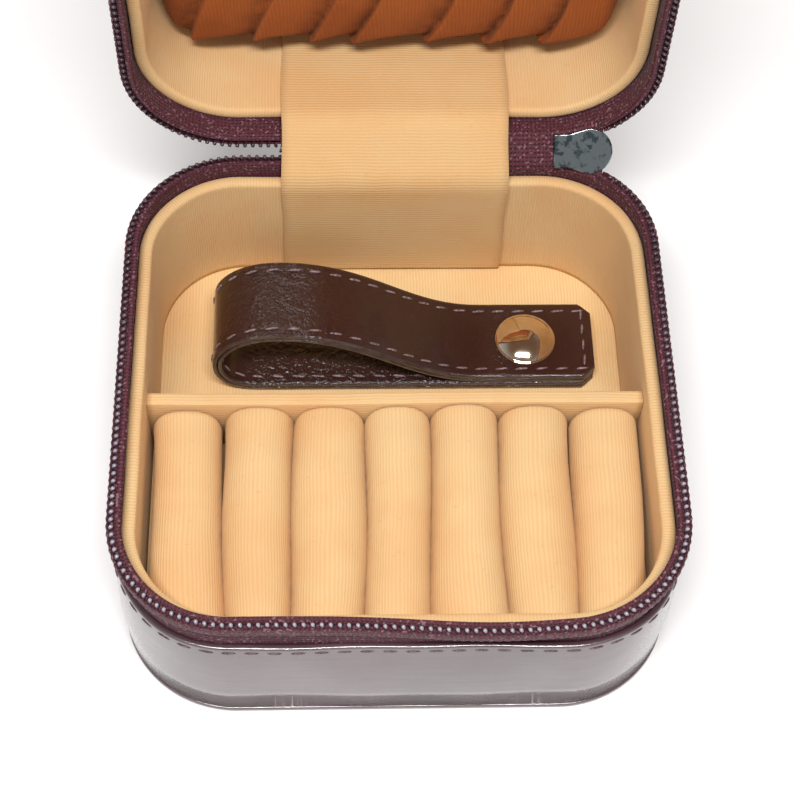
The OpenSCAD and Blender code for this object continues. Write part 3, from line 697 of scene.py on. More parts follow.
def dividerBoard():
    # P(x, section) = an upright section with a rounded top, moved back and forth by a slow sine of x
    low, high = nodeBox("divider")
    high[2] += divider["proud"]
    section = filletLoop([low[1:], (high[1], low[2]), high[1:], (low[1], high[2])],
                         [0, 0, divider["round"], divider["round"]])
    x = np.linspace(low[0], high[0], 60)
    sag = divider["sag"] * np.sin(x * 0.09)
    p = spread(x[:, None], section[:, 0] + sag[:, None], section[:, 1])
    gridPiece("dividerCloth", p, x, girthOf(section), tanCloth, "base", "divider", slot="lining_cloth",
              turnUv=True)


def squared(values, power):
    # a sine or cosine pulled toward a square: its size to a power below 1, its sign kept
    return np.sign(values) * np.abs(values) ** power


def ringRoll(i):
    # P(y, turn): a squared circle whose width follows the creases to its neighbours, rounded in at its ends
    low, high = nodeBox("ring_roll_%d" % (i + 1))
    front, back = low[1], high[1]
    y = np.concatenate([np.linspace(back, back - 3, 12), np.linspace(back - 4, front + 3, 30),
                        np.linspace(front + 2.8, front, 10)])
    t = (back - y) / (back - front)
    opening = np.exp(-((t - rolls["openAt"]) / rolls["openRun"]) ** 2)
    creases = [rolls["backEdges"][k] * (1 - t) + rolls["frontEdges"][k] * t
               + rolls["wander"] * np.sin(t * 5 + k * 1.7) for k in (i, i + 1)]
    left = creases[0] + rolls["gaps"][i] * opening / 2 - rolls["press"]
    right = creases[1] - rolls["gaps"][i + 1] * opening / 2 + rolls["press"]
    mid, wide = (left + right) / 2, (right - left) / 2
    end = np.minimum(back - y, y - front) / rolls["endRound"]
    shrink = np.sqrt(np.clip(1 - np.clip(1 - end, 0, 1) ** 2, 0.0004, 1))
    full = np.where(t < 0.5, rolls["backFull"][i], rolls["frontFull"])
    shrink = full + (1 - full) * shrink
    tall = (high[2] + rolls["rise"][i] - low[2]) / 2
    a = turns(56)
    across, up = squared(np.cos(a), rolls["square"]), squared(np.sin(a), rolls["flatness"])
    dent = 1 - 0.02 * np.sin(y * 0.35 + i) ** 2
    p = spread(mid[:, None] + (wide * shrink)[:, None] * across, y[:, None],
               low[2] + tall + (tall * shrink * dent)[:, None] * up)
    # soilAndShade on each roll's flanks, where it presses on its neighbours: painted shade of the creases between
    # rolls together with soiling, varied slowly along the roll
    flank = np.clip((np.abs(across) - rolls["soilAndShadeFrom"]) / (1 - rolls["soilAndShadeFrom"]), 0, 1)
    soilAndShade = flank ** 2 * (0.35 + 0.25 * np.sin(y * 0.21 + i * 2))[:, None]
    girth = np.linspace(0, 2 * math.pi * tall, len(a) + 1)
    piece = gridPiece("ringRoll%d" % (i + 1), p, y, girth, tanCloth, "base", "ring_roll_%d" % (i + 1),
                      slot="roll_cloth", masks={"soilAndShade": soilAndShade}, turnUv=True)


dividerBoard()
for i in range(7):
    ringRoll(i)
print("divider and rolls ready")

# zip
zipDims = {"pitch": 1.5, "filament": 0.26, "halfWide": 0.34, "rootZ": 33.0, "headZ": 35.6, "turnPoints": 18,
           "start": 21.0, "stop": 41.5, "lean": 0.1, "tapeTop": 35.5, "tapeDown": 15, "droop": 1.5,
           "droopAt": 16.0, "droopWide": 18.0, "backDrop": 0.45, "backHalf": 26, "backFade": 34,
           "bead": 0.09}
tapeTop = nodeBox("lower_zip_tape")[1][2]
chainAcross = np.array([0, math.sqrt(0.5), math.sqrt(0.5)])        # the closed row leans by 45 degrees
chainOut = np.array([0, math.sqrt(0.5), -math.sqrt(0.5)])


def nearHinge(s):
    # 1 along the back, falling smoothly to 0 on the sides
    away = np.minimum(np.mod(s, planLen), planLen - np.mod(s, planLen))
    t = np.clip((away - zipDims["backHalf"]) / zipDims["backFade"], 0, 1)
    return 1 - t * t * (3 - 2 * t)


def rowLean(s):
    # how far the heads lean out: a little at the back, and where the front edge droops right of its middle
    droop = np.exp(-((s - planLen / 2 - zipDims["droopAt"]) / zipDims["droopWide"]) ** 2)
    return zipDims["lean"] * nearHinge(s) + zipDims["droop"] * droop


def coilOut(s):
    # distance of the coil's middle from the plan: just inside the leather, plus the lean
    return -wall["leather"] + zipDims["halfWide"] + zipDims["filament"] + rowLean(s)


def coilTurns(length):
    # turning angles of a filament that makes one turn for each tooth
    return turns(int(length / zipDims["pitch"]) * zipDims["turnPoints"], zipDims["turnPoints"])


def openTape(half):
    # an upright strip from behind the leather to the heads, carried along the plan and leaning with the row
    s = np.arange(zipDims["start"], planLen - zipDims["stop"], 1.1)
    face, top, foot = -wall["leather"], zipDims["tapeTop"], tapeTop - zipDims["tapeDown"]
    back = face - wall["tape"]
    section = filletLoop([(face, foot), (face, leatherTop), (face + 0.02, top), (back, top), (back, leatherTop),
                          (back, foot)], [0, 2, 0.15, 0.15, 2, 0])
    fine = resampleLoop(section, 1.3)
    share = np.clip((fine[:, 1] - leatherTop) / (zipDims["headZ"] - leatherTop), 0, 1)[None]
    p = sweepPlan(s, fine[None, :, 0] + rowLean(s)[:, None] * share,
                  fine[None, :, 1] - zipDims["backDrop"] * nearHinge(s)[:, None] * share)
    halfPiece(half, half["side"] + "Tape", p, s, girthOf(fine), knitTape, half["side"] + "_zip_tape",
              slot="zip_tape")


def coilBinding(half):
    # an open channel: outer wall, floor under the heads, inner wall and a lip over the lining
    s = np.arange(zipDims["start"], planLen - zipDims["stop"], 0.5)
    front = filletLoop([(-0.6, 32.2), (0.7, 32.5), (0.95, 34.8), (0.75, 35.45), (0.52, 35.35), (0.45, 34.7),
                        (-0.45, 34.7), (-0.52, 35.35), (-0.75, 35.5), (-1.45, 35.5), (-1.8, 35.1), (-1.5, 34.7),
                        (-0.6, 34.5)], [0.1, 0.5, 0.3, 0.12, 0.08, 0.1, 0.1, 0.08, 0.12, 0.2, 0.2, 0.15, 0.1], 3)
    back = filletLoop([(-0.6, 32.2), (0.55, 32.5), (0.68, 34.3), (0.6, 34.75), (0.52, 34.7), (0.45, 34.2),
                       (-0.45, 34.2), (-0.5, 34.75), (-0.62, 34.9), (-0.8, 34.9), (-0.92, 34.7), (-0.85, 34.5),
                       (-0.6, 34.3)], [0.05] * 13, 3)
    band = front[None] + (back - front)[None] * nearHinge(s)[:, None, None]
    bead = zipDims["bead"] * np.cos(2 * math.pi * s / zipDims["pitch"])[:, None] * (band[..., 0] > 0.6)
    p = sweepPlan(s, coilOut(s)[:, None] + band[..., 0] + bead, band[..., 1])
    halfPiece(half, half["side"] + "CoilBinding", p, s, girthOf(front), knitTape)


def coil(half):
    # filament: height = mid + reach*cos(turn), depth = halfWide*sin(turn), while it moves a pitch along the edge
    first, last = zipDims["start"] + 0.5, planLen - zipDims["stop"] - 1
    turn = coilTurns(last - first)
    along = first + half["toothShift"] * zipDims["pitch"] + turn / (2 * math.pi) * zipDims["pitch"]
    mid, reach = (zipDims["rootZ"] + zipDims["headZ"]) / 2, (zipDims["headZ"] - zipDims["rootZ"]) / 2
    out = coilOut(along) + zipDims["halfWide"] * np.sin(turn)
    path = sweepPlan(along, out[:, None], (mid + reach * np.cos(turn))[:, None])[:, 0]
    _, cy, a = planSpot(along)
    top = np.exp(-((np.arccos(np.clip(np.cos(turn), -1, 1))) / 0.55) ** 2)
    # painted highlight: the heads' tops are made pale, most at the front, fading towards the back, and less on
    # the lid's row (toothHighlight)
    wearAndHighlight = top * (np.interp(cy, [-30, 20], [1.0, 0.1]) * half["toothHighlight"])
    radius = zipDims["filament"] * (0.85 + (0.55 + 0.2 * nearHinge(along)) * top)
    p = tube(path, alongAt(a), radius, 7)
    halfPiece(half, half["side"] + "Coil", p, along, np.linspace(0, 2, 8), nylon, half["side"] + "_zip_teeth",
              slot="zip_teeth", masks={"wearAndHighlight": wearAndHighlight[:, None]})


def hingeTape():
    # the tape of both halves and of the closed row between them, from leather edge to leather edge
    s = np.concatenate([planLen - np.arange(zipDims["stop"] + 1.5, 0.2, -1.1),
                        np.arange(0.3, zipDims["start"], 1.1)])
    cx, cy, a = planSpot(s)
    r = cornerR - wall["leather"] - 0.25
    x, y = cx + r * np.cos(a), cy + r * np.sin(a)
    drop = y - y.max()

    def tapeLine(yy, zz, part):
        share = abs(1 - 2 * part) ** 1.5       # in the middle the tape stays flat between the slider's plates
        return np.stack([x, yy + drop * share * (part < 0.5), zz - drop * share * (part > 0.5)], 1)

    low = [(48.55, 22.0), (48.55, 27.0), (48.65, 29.5), (48.55, 31.8)]
    diagonal = [(48.15, 33.7, 0.05), (49.6, 35.25, 0.35), (51.1, 36.75, 0.65), (52.9, 38.45, 0.95)]
    rows = np.stack([tapeLine(yy, zz, 0) for yy, zz in low] + [tapeLine(*spot) for spot in diagonal]
                    + [tapeLine(hingeSum - zz, hingeSum - yy, 1) for yy, zz in low[::-1]], 1)
    knots = np.arange(rows.shape[1])
    fine = np.linspace(0, knots[-1], 45)
    smooth = np.stack([[np.interp(fine, knots, row[:, k]) for k in range(3)] for row in rows]).transpose(0, 2, 1)
    kernel = np.array([1, 2, 3, 2, 1]) / 9
    padded = np.pad(smooth, ((0, 0), (2, 2), (0, 0)), mode="edge")
    smooth[:, 2:-2] = sum(kernel[k] * padded[:, k:k + len(fine)] for k in range(5))[:, 2:-2]
    tape = gridPiece("hingeTape", smooth, s, runLength(smooth[len(s) // 2]), knitTape, None, form="sheet",
                     thick=(wall["tape"], 0))
    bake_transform(tape)
    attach(tape, "base")


def closedRow():
    # both coils meshed along the hinge axis, on the outside of the tape
    low, high = nodeBox("zip_chain")
    turn = coilTurns(high[0] - low[0])
    depth = zipDims["halfWide"] * np.sin(turn) + 0.1
    for name, sign, phase, stands in (("closedCoilLid", 1, 0.0, ["zip_chain"]), ("closedCoilBase", -1, 0.5, [])):
        x = low[0] + (turn / (2 * math.pi) + phase) * zipDims["pitch"]
        reach = sign * (1.25 - 1.45 * np.cos(turn))
        path = spread(x, 0, 0) + reach[:, None] * chainAcross + depth[:, None] * chainOut
        path += np.array([0, hingeY, hingeZ])
        p = tube(path, np.tile([1.0, 0, 0], (len(turn), 1)), zipDims["filament"], 6)
        gridPiece(name, p, x, np.linspace(0, 2, 7), nylon, "closed_row", *stands, slot="zip_teeth")


for half in halves:
    openTape(half)
    coilBinding(half)
    coil(half)
hingeTape()
closedRow()
print("zip ready")

# slider and pull
sliderDims = {"narrow": 3.3, "neck": 2.3, "wide": 8.9, "longer": 0.5, "bevel": 0.28, "faces": (1.6, 2.5),
              "post": 1.62, "postBack": 2.2, "postHalf": (1.6, 1.1)}
arch = {"from": 2.7, "length": 6.0, "base": 2.4, "rise": 2.6, "thick": 0.45, "square": 0.45, "flatten": 1.4}
sliderLow, sliderHigh = nodeBox("slider_body")
sliderLength = sliderHigh[0] - sliderLow[0] + sliderDims["longer"]
sliderOrigin = np.array([sliderLow[0] - sliderDims["longer"], hingeY, hingeZ])
sliderAlong = np.array([1.0, 0, 0])


def sliderOutline():
    # half outline: round nose, a slow hollow shoulder, straight neck; mirrored for the other side
    r, neckY, neckX = sliderDims["wide"] / 2, sliderDims["narrow"], sliderDims["neck"]
    t, noseX = np.linspace(0, math.pi / 2, 16), sliderLength - r
    nose = np.stack([noseX + r * np.cos(t), r * np.sin(t)], 1)
    shoulder = bezier(nose[-1], (noseX - 1.2, r), (neckX + 1.3, neckY), (neckX, neckY), 12)[1:]
    neck = [(neckX * 0.5, neckY), (0.35, neckY), (0.1, neckY - 0.1), (0, neckY - 0.35), (0, neckY * 0.5)]
    top = np.concatenate([nose, shoulder, neck])
    return np.concatenate([top, (top[::-1] * [1, -1])[:-1]])


def sliderPlate(name, outline, low, high, *stands):
    # a flat plate between two levels of the closed row's inner side, its rim bevelled in rings
    b = sliderDims["bevel"] * (1 if high > low else -1)
    run = np.roll(outline, -1, 0) - np.roll(outline, 1, 0)
    normal = unit(np.stack([run[:, 1], -run[:, 0]], 1))
    normal *= np.sign(np.sum(normal * (outline - outline.mean(0)))) or 1
    rings = []
    for inset, level in ((1.2, low), (1, low), (0.35, low + b * 0.12), (0, low + b * 0.6), (0, high - b),
                         (0.2, high - b * 0.4), (0.6, high - b * 0.1), (1, high), (1.2, high)):
        q = outline - normal * inset * abs(b)
        rings.append(sliderOrigin + q[:, :1] * sliderAlong + q[:, 1:] * chainAcross - level * chainOut)
    p = np.stack(rings, 1)
    gridPiece(name, p, np.arange(len(p) + 1.0), np.arange(p.shape[1] * 1.0), wornSteel, "slider", *stands,
              slot="slider_metal", form="plate")


def sliderBridge():
    # a tube along a squared half circle over the plate, widened across the row
    t = np.linspace(0, math.pi, 26)
    inset, square = arch["thick"], arch["square"]
    x = arch["from"] + arch["length"] / 2 - (arch["length"] / 2 - inset) * squared(np.cos(t), square)
    height = arch["base"] + (arch["rise"] - inset) * squared(np.sin(t), square)
    path = sliderOrigin + x[:, None] * sliderAlong + height[:, None] * chainOut
    ring = tube(path, np.tile(chainAcross, (len(t), 1)), arch["thick"], 10)
    sideways = (ring - path[:, None]) @ chainAcross
    ring = ring + sideways[..., None] * chainAcross * arch["flatten"]
    gridPiece("sliderBridge", ring, runLength(path), np.linspace(0, 3, 11), wornSteel, "slider", "slider_bridge",
              slot="slider_metal")


def slider():
    # two plates of one outline, a post between them that narrows toward the nose, and the bridge
    low, high = sliderDims["faces"]
    sliderPlate("sliderInnerPlate", sliderOutline(), low, high, "slider_body")
    sliderPlate("sliderOuterPlate", sliderOutline(), -low, -high)
    t = turns(24)
    reach, halfWide = sliderDims["postHalf"]
    post = np.stack([sliderLength - sliderDims["postBack"] + reach * np.cos(t),
                     halfWide * np.sin(t) * (1 - 0.3 * np.cos(t))], 1)
    sliderPlate("sliderPost", post, -sliderDims["post"], sliderDims["post"])
    sliderBridge()


pull = {"thick": 0.55, "eyeHalf": 1.8, "eyeHole": 1.15, "hole": 1.3, "neck": 9.0, "step": 0.42,
        "rings": ((0.0, 0), (0.01, 0.7), (0.03, 0.95), (0.07, 1), (0.14, 0.9), (0.22, 0.72), (0.8, 0.72),
                  (0.93, 0.9), (0.99, 0.6), (1, 0))}
pivot = np.array(joints["pull_swing"]["pos_m"]) / mm
pullLow, pullHigh = nodeBox("pull_tab")
eyeR = pullHigh[1] - pivot[1]


def pullTab():
    # a flat tongue with a softened rim: each ring lies a share of the way from the outline to the round hole
    half, eyeHalf = (pullHigh[0] - pullLow[0]) / 2, pull["eyeHalf"]
    hubZ = pullLow[2] - pivot[2] + half
    t = np.linspace(0, math.pi, 25)
    side = np.array([(half, -pull["neck"]), (half, -5.4), (half - 0.3, -4.6), (eyeHalf, -3.2),
                     (eyeHalf, -eyeR + 0.3)])
    tip = np.stack([half * np.cos(t), hubZ - half * np.sin(t)], 1)
    outer = resampleLoop(np.concatenate([tip, side * [-1, 1], side[::-1]]), pull["step"])
    hub = np.array([0, hubZ])
    angle = np.arctan2(outer[:, 1] - hub[1], outer[:, 0])
    hole = hub + pull["hole"] * np.stack([np.cos(angle), np.sin(angle)], 1)
    rows = []
    for share, level in pull["rings"] + tuple((share, -level) for share, level in pull["rings"][-2:0:-1]):
        q = outer * (1 - share) + hole * share
        rows.append(spread(pivot[0] + q[:, 0], pivot[1] + level * pull["thick"], pivot[2] + q[:, 1]))
    gridPiece("pullTab", np.stack(rows, 1), np.arange(len(outer) + 1.0), np.arange(len(rows) + 1.0), wornSteel,
              "pull", "pull_tab", slot="slider_metal", form="ring")


def pullEye():
    # the tongue's upper end, rolled round the bridge's bar
    eyeHalf, hole = pull["eyeHalf"], pull["eyeHole"]
    section = filletLoop([(-eyeHalf, hole), (eyeHalf, hole), (eyeHalf, eyeR), (-eyeHalf, eyeR)],
                         [0.2, 0.2, 0.3, 0.3], 3)
    a = turns(40)
    p = spread(pivot[0] + section[:, 0], pivot[1] + section[:, 1] * np.cos(a)[:, None],
               pivot[2] + section[:, 1] * np.sin(a)[:, None])
    gridPiece("pullEye", p, np.append(a, 2 * math.pi), girthOf(section), wornSteel, "pull",
              slot="slider_metal", form="ring")


slider()
pullTab()
pullEye()
print("slider ready")

# cloth and leather over the hinge
cover = {"clear": 0.45, "overLip": 0.75, "sewn": 0.5, "bend": 2.6, "wave": 0.15, "cloth": 0.5,
         "patchOut": 0.35, "patch": 0.7}


def pathSheet(name, path, low, high, columns, wave, *finish, **rest):
    # P(path, x) = a path in Y and Z carried across the width; its side edges waver with a sine of the run
    x = np.linspace(low, high, columns)
    waves = wave * np.sin(runLength(path) * 0.3)[:, None] * (2 * (x - low) / (high - low) - 1)
    p = spread(x + waves, path[:, :1], path[:, 1:])
    return gridPiece(name, p, runLength(path), x, *finish, form="sheet", **rest)


def hingeCloth():
    # up the base's lining, straight over the hinge and along the lid's lining, with two rounded bends
    low, high = nodeBox("hinge_lining")
    inner = liningOuter - wall["lining"] - cover["clear"]
    lidWall = hingeSum - inner
    path = filletLoop([(inner, floorTop + cover["sewn"]), (inner, liningTop + cover["overLip"]),
                       (hingeSum - liningTop - cover["overLip"], lidWall),
                       (hingeSum - floorTop - cover["sewn"], lidWall)],
                      [0, cover["bend"], cover["bend"], 0], 10, closed=False)
    path = resample(path, 0.55)
    sheetPiece = pathSheet("hingeCloth", path, low[0], high[0], 23, cover["wave"], paintedShadePanelCloth, None,
                           "hinge_lining", slot="lining_cloth", thick=(cover["cloth"], -1))
    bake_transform(sheetPiece)
    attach(sheetPiece, "base")


def hingePatch():
    # up the base's leather, round the closed row on the outside and along the lid's leather
    low, high = nodeBox("hinge_leather")
    y0 = halfY + cover["patchOut"]
    z1 = hingeSum - halfY - cover["patchOut"]
    path = filletLoop([(y0, low[2]), (y0, leatherTop), (y0 + 1.3, leatherTop + 3.4), (y0 + 3.3, leatherTop + 5.3),
                       (hingeY + 5.2, z1 - 1.5), (hingeY + 8.6, z1), (high[1], z1)],
                      [0, 1.5, 1, 1, 1, 1.5, 0], closed=False)
    patch = pathSheet("hingePatch", resample(path, 0.7), low[0], high[0], 17, 0.0, burgundyLeather, None,
                      "hinge_leather", slot="outer_leather", thick=(cover["patch"], 0))
    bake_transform(patch)
    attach(patch, "base")


hingeCloth()
hingePatch()
print("hinge covers ready")

# lid pocket
pocket = {"halfWide": 45.0, "tips": (-54.0, -37.5, -25.3, -14.0, -5.9, 8.2, 19.2, 30.1, 58.0),
          "height": (0.8, 0.9, 0.8, 1.0, 1.15, 0.85, 1.25, 1.1), "fold": 2.0, "overlap": 1.2, "tipLength": 1.0,
          "lean": 0.27, "riseFrom": 0.93, "edgeRun": 0.13, "creaseFrom": 0.45, "hang": 2.7, "belly": 3.9,
          "bellyAt": 0.8, "hemShare": 0.4, "cornerR": 12.0, "endRound": 5, "cloth": 0.6, "elastic": 0.75,
          "columns": 380}


def pocketSheet():
    # P(x, v): v runs from the sewn edge by the hinge, under the belly and up to the mouth; each fold starts
    # with a raised edge that leans over its left neighbour and sinks towards the next fold
    low, high = nodeBox("lid_pocket")
    halfW, cornerOut, ceiling = pocket["halfWide"], pocket["cornerR"], floorTop + 0.35
    depth = hingeSum - low[1] - floorTop - 0.8 + pocket["belly"]
    sewn, mouth = hingeSum - low[2] + 0.4 - pocket["hang"], hingeSum - high[2]
    spots = ((sewn - 3.0, 0), (sewn - 0.6, 0.3), (sewn - 0.9, 0.86), (sewn - 9, 1), (sewn - 26, 0.98),
             (mouth + 4, 0.8), (mouth + 0.6, 0.72))
    section = resample(filletLoop([(y, ceiling + depth * share) for y, share in spots],
                                  [0, 2, 3, 5, 8, 4, 0], 8, closed=False), 0.6)
    v = runLength(section)
    x = np.linspace(-halfW, halfW, pocket["columns"])[:, None]
    vBelly = depth * pocket["bellyAt"]
    # each fold's own run t goes from its raised edge at 0 to the foot of the next edge at 1
    folded = x - pocket["lean"] * (v - vBelly) + 0.7 * np.sin(v * 0.16 + x * 0.05)
    phase = np.interp(folded, pocket["tips"], np.arange(len(pocket["tips"])))
    heights = np.array(pocket["height"])
    number = np.clip(np.floor(phase).astype(int), 0, len(heights) - 1)
    t = phase - np.floor(phase)
    height, after = heights[number], heights[np.clip(number + 1, 0, len(heights) - 1)]
    rise = np.clip((t - pocket["riseFrom"]) / (1 - pocket["riseFrom"]), 0, 1)
    saw = height * (1 - t) ** 1.3 * (1 - rise) + rise * after
    near = np.exp(-t / pocket["edgeRun"]) * (1 - rise) + rise
    strength = np.interp(v, [0, 4, vBelly, 22, v[-1] - 5, v[-1]], [0.1, 0.6, 1.0, 0.7, 0.4, 0.2])
    ends = np.sqrt(1 - (1 - np.clip((halfW - np.abs(x)) / pocket["endRound"], 0, 1)) ** 2)
    corner = np.clip(np.abs(x) - (halfW - cornerOut), 0, cornerOut)
    cornerDrop = cornerOut - np.sqrt(cornerOut ** 2 - corner ** 2)
    normal = np.gradient(section, axis=0)
    normal = unit(np.stack([-normal[:, 1], normal[:, 0]], 1))
    normal *= np.sign(np.sum(normal * [-1, 1], axis=1).mean())
    lift = (pocket["fold"] * (saw - 0.55) * strength) * ends
    tip = pocket["tipLength"] * near * np.exp(-((v - vBelly) / 4.5) ** 2) * ends
    yy = section[:, 0] + normal[:, 0] * lift * pocket["hemShare"] + tip
    yy = mouth + (yy - mouth) * (1 - cornerDrop / (sewn - mouth) * np.exp(-v / 60))
    zz = (section[:, 1] - ceiling) * ends + ceiling + normal[:, 1] * lift
    xx = x - pocket["overlap"] * near * strength * ends * np.sqrt(height)
    p = spread(xx, yy, np.maximum(zz, floorTop + 0.45))
    # painted shade: each fold darkens from part way along towards the foot of the next fold's overlapping edge
    crease = np.clip(t / pocket["creaseFrom"] - 1, 0, 1) ** 1.5 * (1 - rise) * strength
    piece = gridPiece("pocketCloth", toLid(p), x, v, paintedShadePocketCloth, "lid", "lid_pocket", slot="pocket_cloth",
                      form="sheet", masks={"soilAndShade": crease * 0.95}, thick=(pocket["cloth"], -1))
    hem, radius = toLid(p[:, -1] + [0, -0.6, 0]), pocket["elastic"]
    girth = np.linspace(0, 2 * math.pi * radius, 9)
    rim = tube(hem, np.tile([0.0, 0, 1.0], (len(hem), 1)), radius, 8)
    gridPiece("pocketElastic", rim, runLength(hem), girth, paintedShadePocketCloth, "lid", "pocket_elastic",
              slot="pocket_cloth")


pocketSheet()
print("pocket ready")

# strap
strap = {"ply": 1.0, "between": 0.03, "soft": 0.3, "foldRise": 8.536, "crestRun": 12.0, "slopeRun": 52.0,
         "gap": 0.35, "chamfer": 2.2, "wrinkles": ((-21.5, 7.5, 1.0), (22, 5, 0.3)),
         "stitchIn": 1.9, "stitchPitch": 4.0, "stitch": (2.6, 0.42, 0.06), "stitchSlant": 0.10,
         "footCut": 48.0, "flapCut": 15.0}
strapLow, strapHigh = nodeBox("strap_lower")
strapY, strapW, strapEnd = (strapLow[1] + strapHigh[1]) / 2, strapHigh[1] - strapLow[1], strapHigh[0]
lowerMid = strapLow[2] + strap["ply"]
upperMid = lowerMid + 2 * strap["ply"] + strap["gap"]
crestZ = nodeBox("strap_upper")[1][2] - strap["ply"]
foldX, foldZ = strapLow[0] + strap["ply"], floorTop + strap["foldRise"]


def strapLine():
    # middle line of the loop in X and Z, from the lower end round the fold to the upper end
    run, slope = strap["crestRun"], strap["slopeRun"] - strap["crestRun"]
    crestX, level = foldX + run, foldX + strap["slopeRun"]
    lower = bezier((foldX, foldZ), (foldX, (foldZ + lowerMid) / 2), (foldX + run * 0.18, lowerMid),
                   (foldX + run * 0.7, lowerMid), 14)
    rise = bezier((foldX, foldZ), (foldX, foldZ + (crestZ - foldZ) * 0.55), (foldX + run * 0.42, crestZ),
                  (crestX, crestZ), 14)
    fall = bezier((crestX, crestZ), (crestX + slope * 0.45, crestZ), (crestX + slope * 0.62, upperMid),
                  (level, upperMid), 26)
    line = np.concatenate([[(strapEnd, lowerMid)], lower[::-1], rise[1:], fall[1:], [(strapEnd, upperMid)]])
    return resample(line, 0.8)


loopLine = strapLine()
loopRun = runLength(loopLine)
loopTangent = unit(np.gradient(loopLine, axis=0))
loopOut = np.stack([loopTangent[:, 1], -loopTangent[:, 0]], 1)     # points out of the loop
loopOut *= np.sign(loopOut[len(loopOut) // 2 + 4, 1]) or 1
loopEnd = len(loopLine) - 1
footCut = int(np.argmax(loopLine[:, 0] < foldX + strap["footCut"]))
flapCut = loopEnd - int(np.argmax(loopLine[::-1, 0] < foldX + strap["flapCut"]))
strapParts = (("Foot", 0, footCut, "strap_foot"), ("Fold", footCut, flapCut, None),
              ("Flap", flapCut, loopEnd, "strap_flap"))


def bendFold(piece, part):
    # the fold's transform is baked into its points
    if part == "Fold":
        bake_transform(piece)


def atRows(values, rows):
    # values between the lines of a grid, for row numbers that aren't whole
    under = np.minimum(np.floor(rows).astype(int), len(values) - 2)
    share = np.reshape(rows - under, (-1,) + (1,) * (values.ndim - 1))
    return values[under] * (1 - share) + values[under + 1] * share


def strapPly(name, inner, outer, stands):
    # the section across the strap has soft edges; near the two ends its corners are cut off
    halfW = strapW / 2
    edge = filletLoop([(-halfW, inner), (halfW, inner), (halfW, outer), (-halfW, outer)], [strap["soft"]] * 4)
    edge = resampleLoop(edge, 0.55)
    left = np.minimum(loopRun, loopRun[-1] - loopRun)
    narrow = 1 - np.clip(strap["chamfer"] - left, 0, None) / halfW
    p = spread(loopLine[:, :1] + loopOut[:, :1] * edge[:, 1], strapY + edge[:, 0] * narrow[:, None],
               loopLine[:, 1:] + loopOut[:, 1:] * edge[:, 1])
    x, z = p[..., 0], p[..., 2]
    crease = sum(most * np.exp(-((x - at) / run) ** 2) * (z > level)
                 for (at, run, most), level in zip(strap["wrinkles"], (foldZ + 2, upperMid)))
    crease = crease + 0.4 * np.clip((lowerMid + 2.4 - z) / 1.4, 0, 1) * np.clip((36 - x) / 20, 0, 1)
    wearAndHighlight = np.clip((np.abs(edge[:, 0]) - halfW + 0.22) / 0.2, 0, 1) * np.ones(len(p))[:, None]
    for part, first, last, body in strapParts:
        # one more row close to each end keeps the shading even up to the cut
        rows = np.concatenate([[first, first + 0.03], np.arange(first + 1, last), [last - 0.03, last]])
        points, run, creased, rubbed = (atRows(values, rows) for values in (p, loopRun, crease, wearAndHighlight))
        piece = gridPiece(name + part, points, run, girthOf(edge), brownLeather, body, *stands[part],
                          slot="strap_leather", masks={"crease": creased, "wearAndHighlight": rubbed})
        bendFold(piece, part)


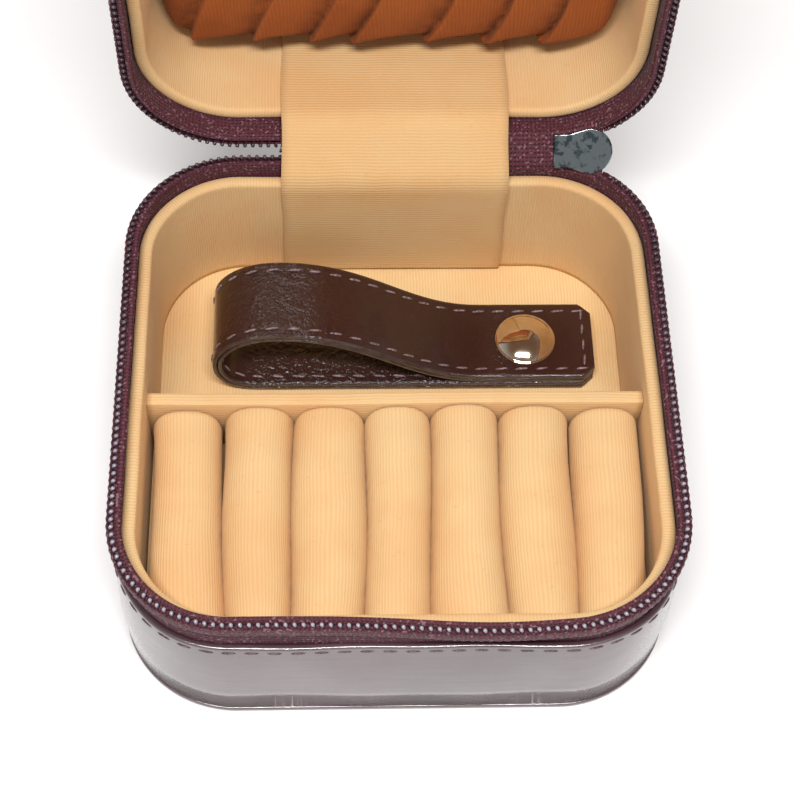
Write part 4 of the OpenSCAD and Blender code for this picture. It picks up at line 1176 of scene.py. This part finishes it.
def strapStitches():
    # a row along both edges and one across each end, on both faces; the dashes stand a little askew
    inset, slant = strap["stitchIn"], strap["stitchSlant"]
    s = np.arange(inset + 0.8, loopRun[-1] - inset, strap["stitchPitch"])
    line, out, tangent = (np.stack([np.interp(s, loopRun, values[:, k]) for k in range(2)], 1)
                          for values in (loopLine, loopOut, loopTangent))
    out, tangent = unit(out), unit(tangent)
    endY = np.arange(strapY - strapW / 2 + 4, strapY + strapW / 2 - 2, strap["stitchPitch"] * 0.9)
    for name, first, last, body in strapParts:
        chosen = (s > loopRun[first]) & (s <= loopRun[last])
        for face, sign in (("Outside", 1), ("Inside", -1)):
            spots, along, outward = [], [], []
            c = line[chosen] + sign * out[chosen] * (strap["ply"] - 0.02)
            for side in (-1, 1):
                spots.append(spread(c[:, 0], strapY + side * (strapW / 2 - inset), c[:, 1]))
                along.append(spread(tangent[chosen, 0], slant, tangent[chosen, 1]))
                outward.append(sign * spread(out[chosen, 0], 0.0, out[chosen, 1]))
            if name != "Fold":
                up = 1.0 if (name == "Flap") == (sign > 0) else -1.0
                z = (upperMid if name == "Flap" else lowerMid) + up * (strap["ply"] - 0.02)
                spots.append(spread(strapEnd - inset, endY, z))
                along.append(np.tile([slant, 1.0, 0], (len(endY), 1)))
                outward.append(np.tile([0, 0, up], (len(endY), 1)))
            spots, along, outward = (np.concatenate(rows) for rows in (spots, along, outward))
            row = stitchRow("strapStitches" + name + face, spots, unit(along), outward, strap["stitch"],
                            stitchThread, body)
            bendFold(row, name)


strapPly("strapOuterPly", strap["between"], strap["ply"],
         {"Foot": ["strap_lower"], "Fold": [], "Flap": ["strap_upper"]})
strapPly("strapInnerPly", -strap["ply"], -strap["between"],
         {"Foot": ["strap_lower_lining"], "Fold": [], "Flap": ["strap_upper_lining"]})
strapStitches()


def snapCap():
    # P(turn, profile): a low dome over a rolled rim, turned about the snap's upright axis
    low, high = nodeBox("snap_cap")
    centre, base = (low + high) / 2, upperMid + strap["ply"]
    r, rise = (high[0] - low[0]) / 2, high[2] - base
    domeR = (r * r + rise * rise) / (2 * rise)
    angles = np.linspace(0, math.asin(min(1, (r - 0.25) / domeR)), 22)[::-1]
    dome = np.stack([domeR * np.sin(angles), rise - domeR + domeR * np.cos(angles)], 1)
    rim = [[0.4, -0.25], [r - 1.2, -0.2], [r - 0.35, -0.02], [r - 0.05, 0.12], [r - 0.06, 0.3]]
    profile = np.concatenate([rim, dome[:-1], [[0.12, rise]]])
    a = turns(64)[:, None]
    p = spread(centre[0] + profile[:, 0] * np.cos(a), centre[1] + profile[:, 0] * np.sin(a), base + profile[:, 1])
    gridPiece("snapCap", p, np.append(a, 2 * math.pi), runLength(profile), polishedSteel, "strap_flap",
              "snap_cap", slot="snap_metal", form="plate")


snapCap()
print("strap ready")

# pieces kept from the frame
kept = {fibreBoard: ("base_bottom_board", "base_wall_board", "lid_top_board", "lid_wall_board"),
        tanCloth: ("roll_bed",), polishedSteel: ("snap_stud", "snap_back", "snap_socket")}
for material, names in kept.items():
    for name in names:
        nodes[name].data.materials.clear()
        nodes[name].data.materials.append(material)
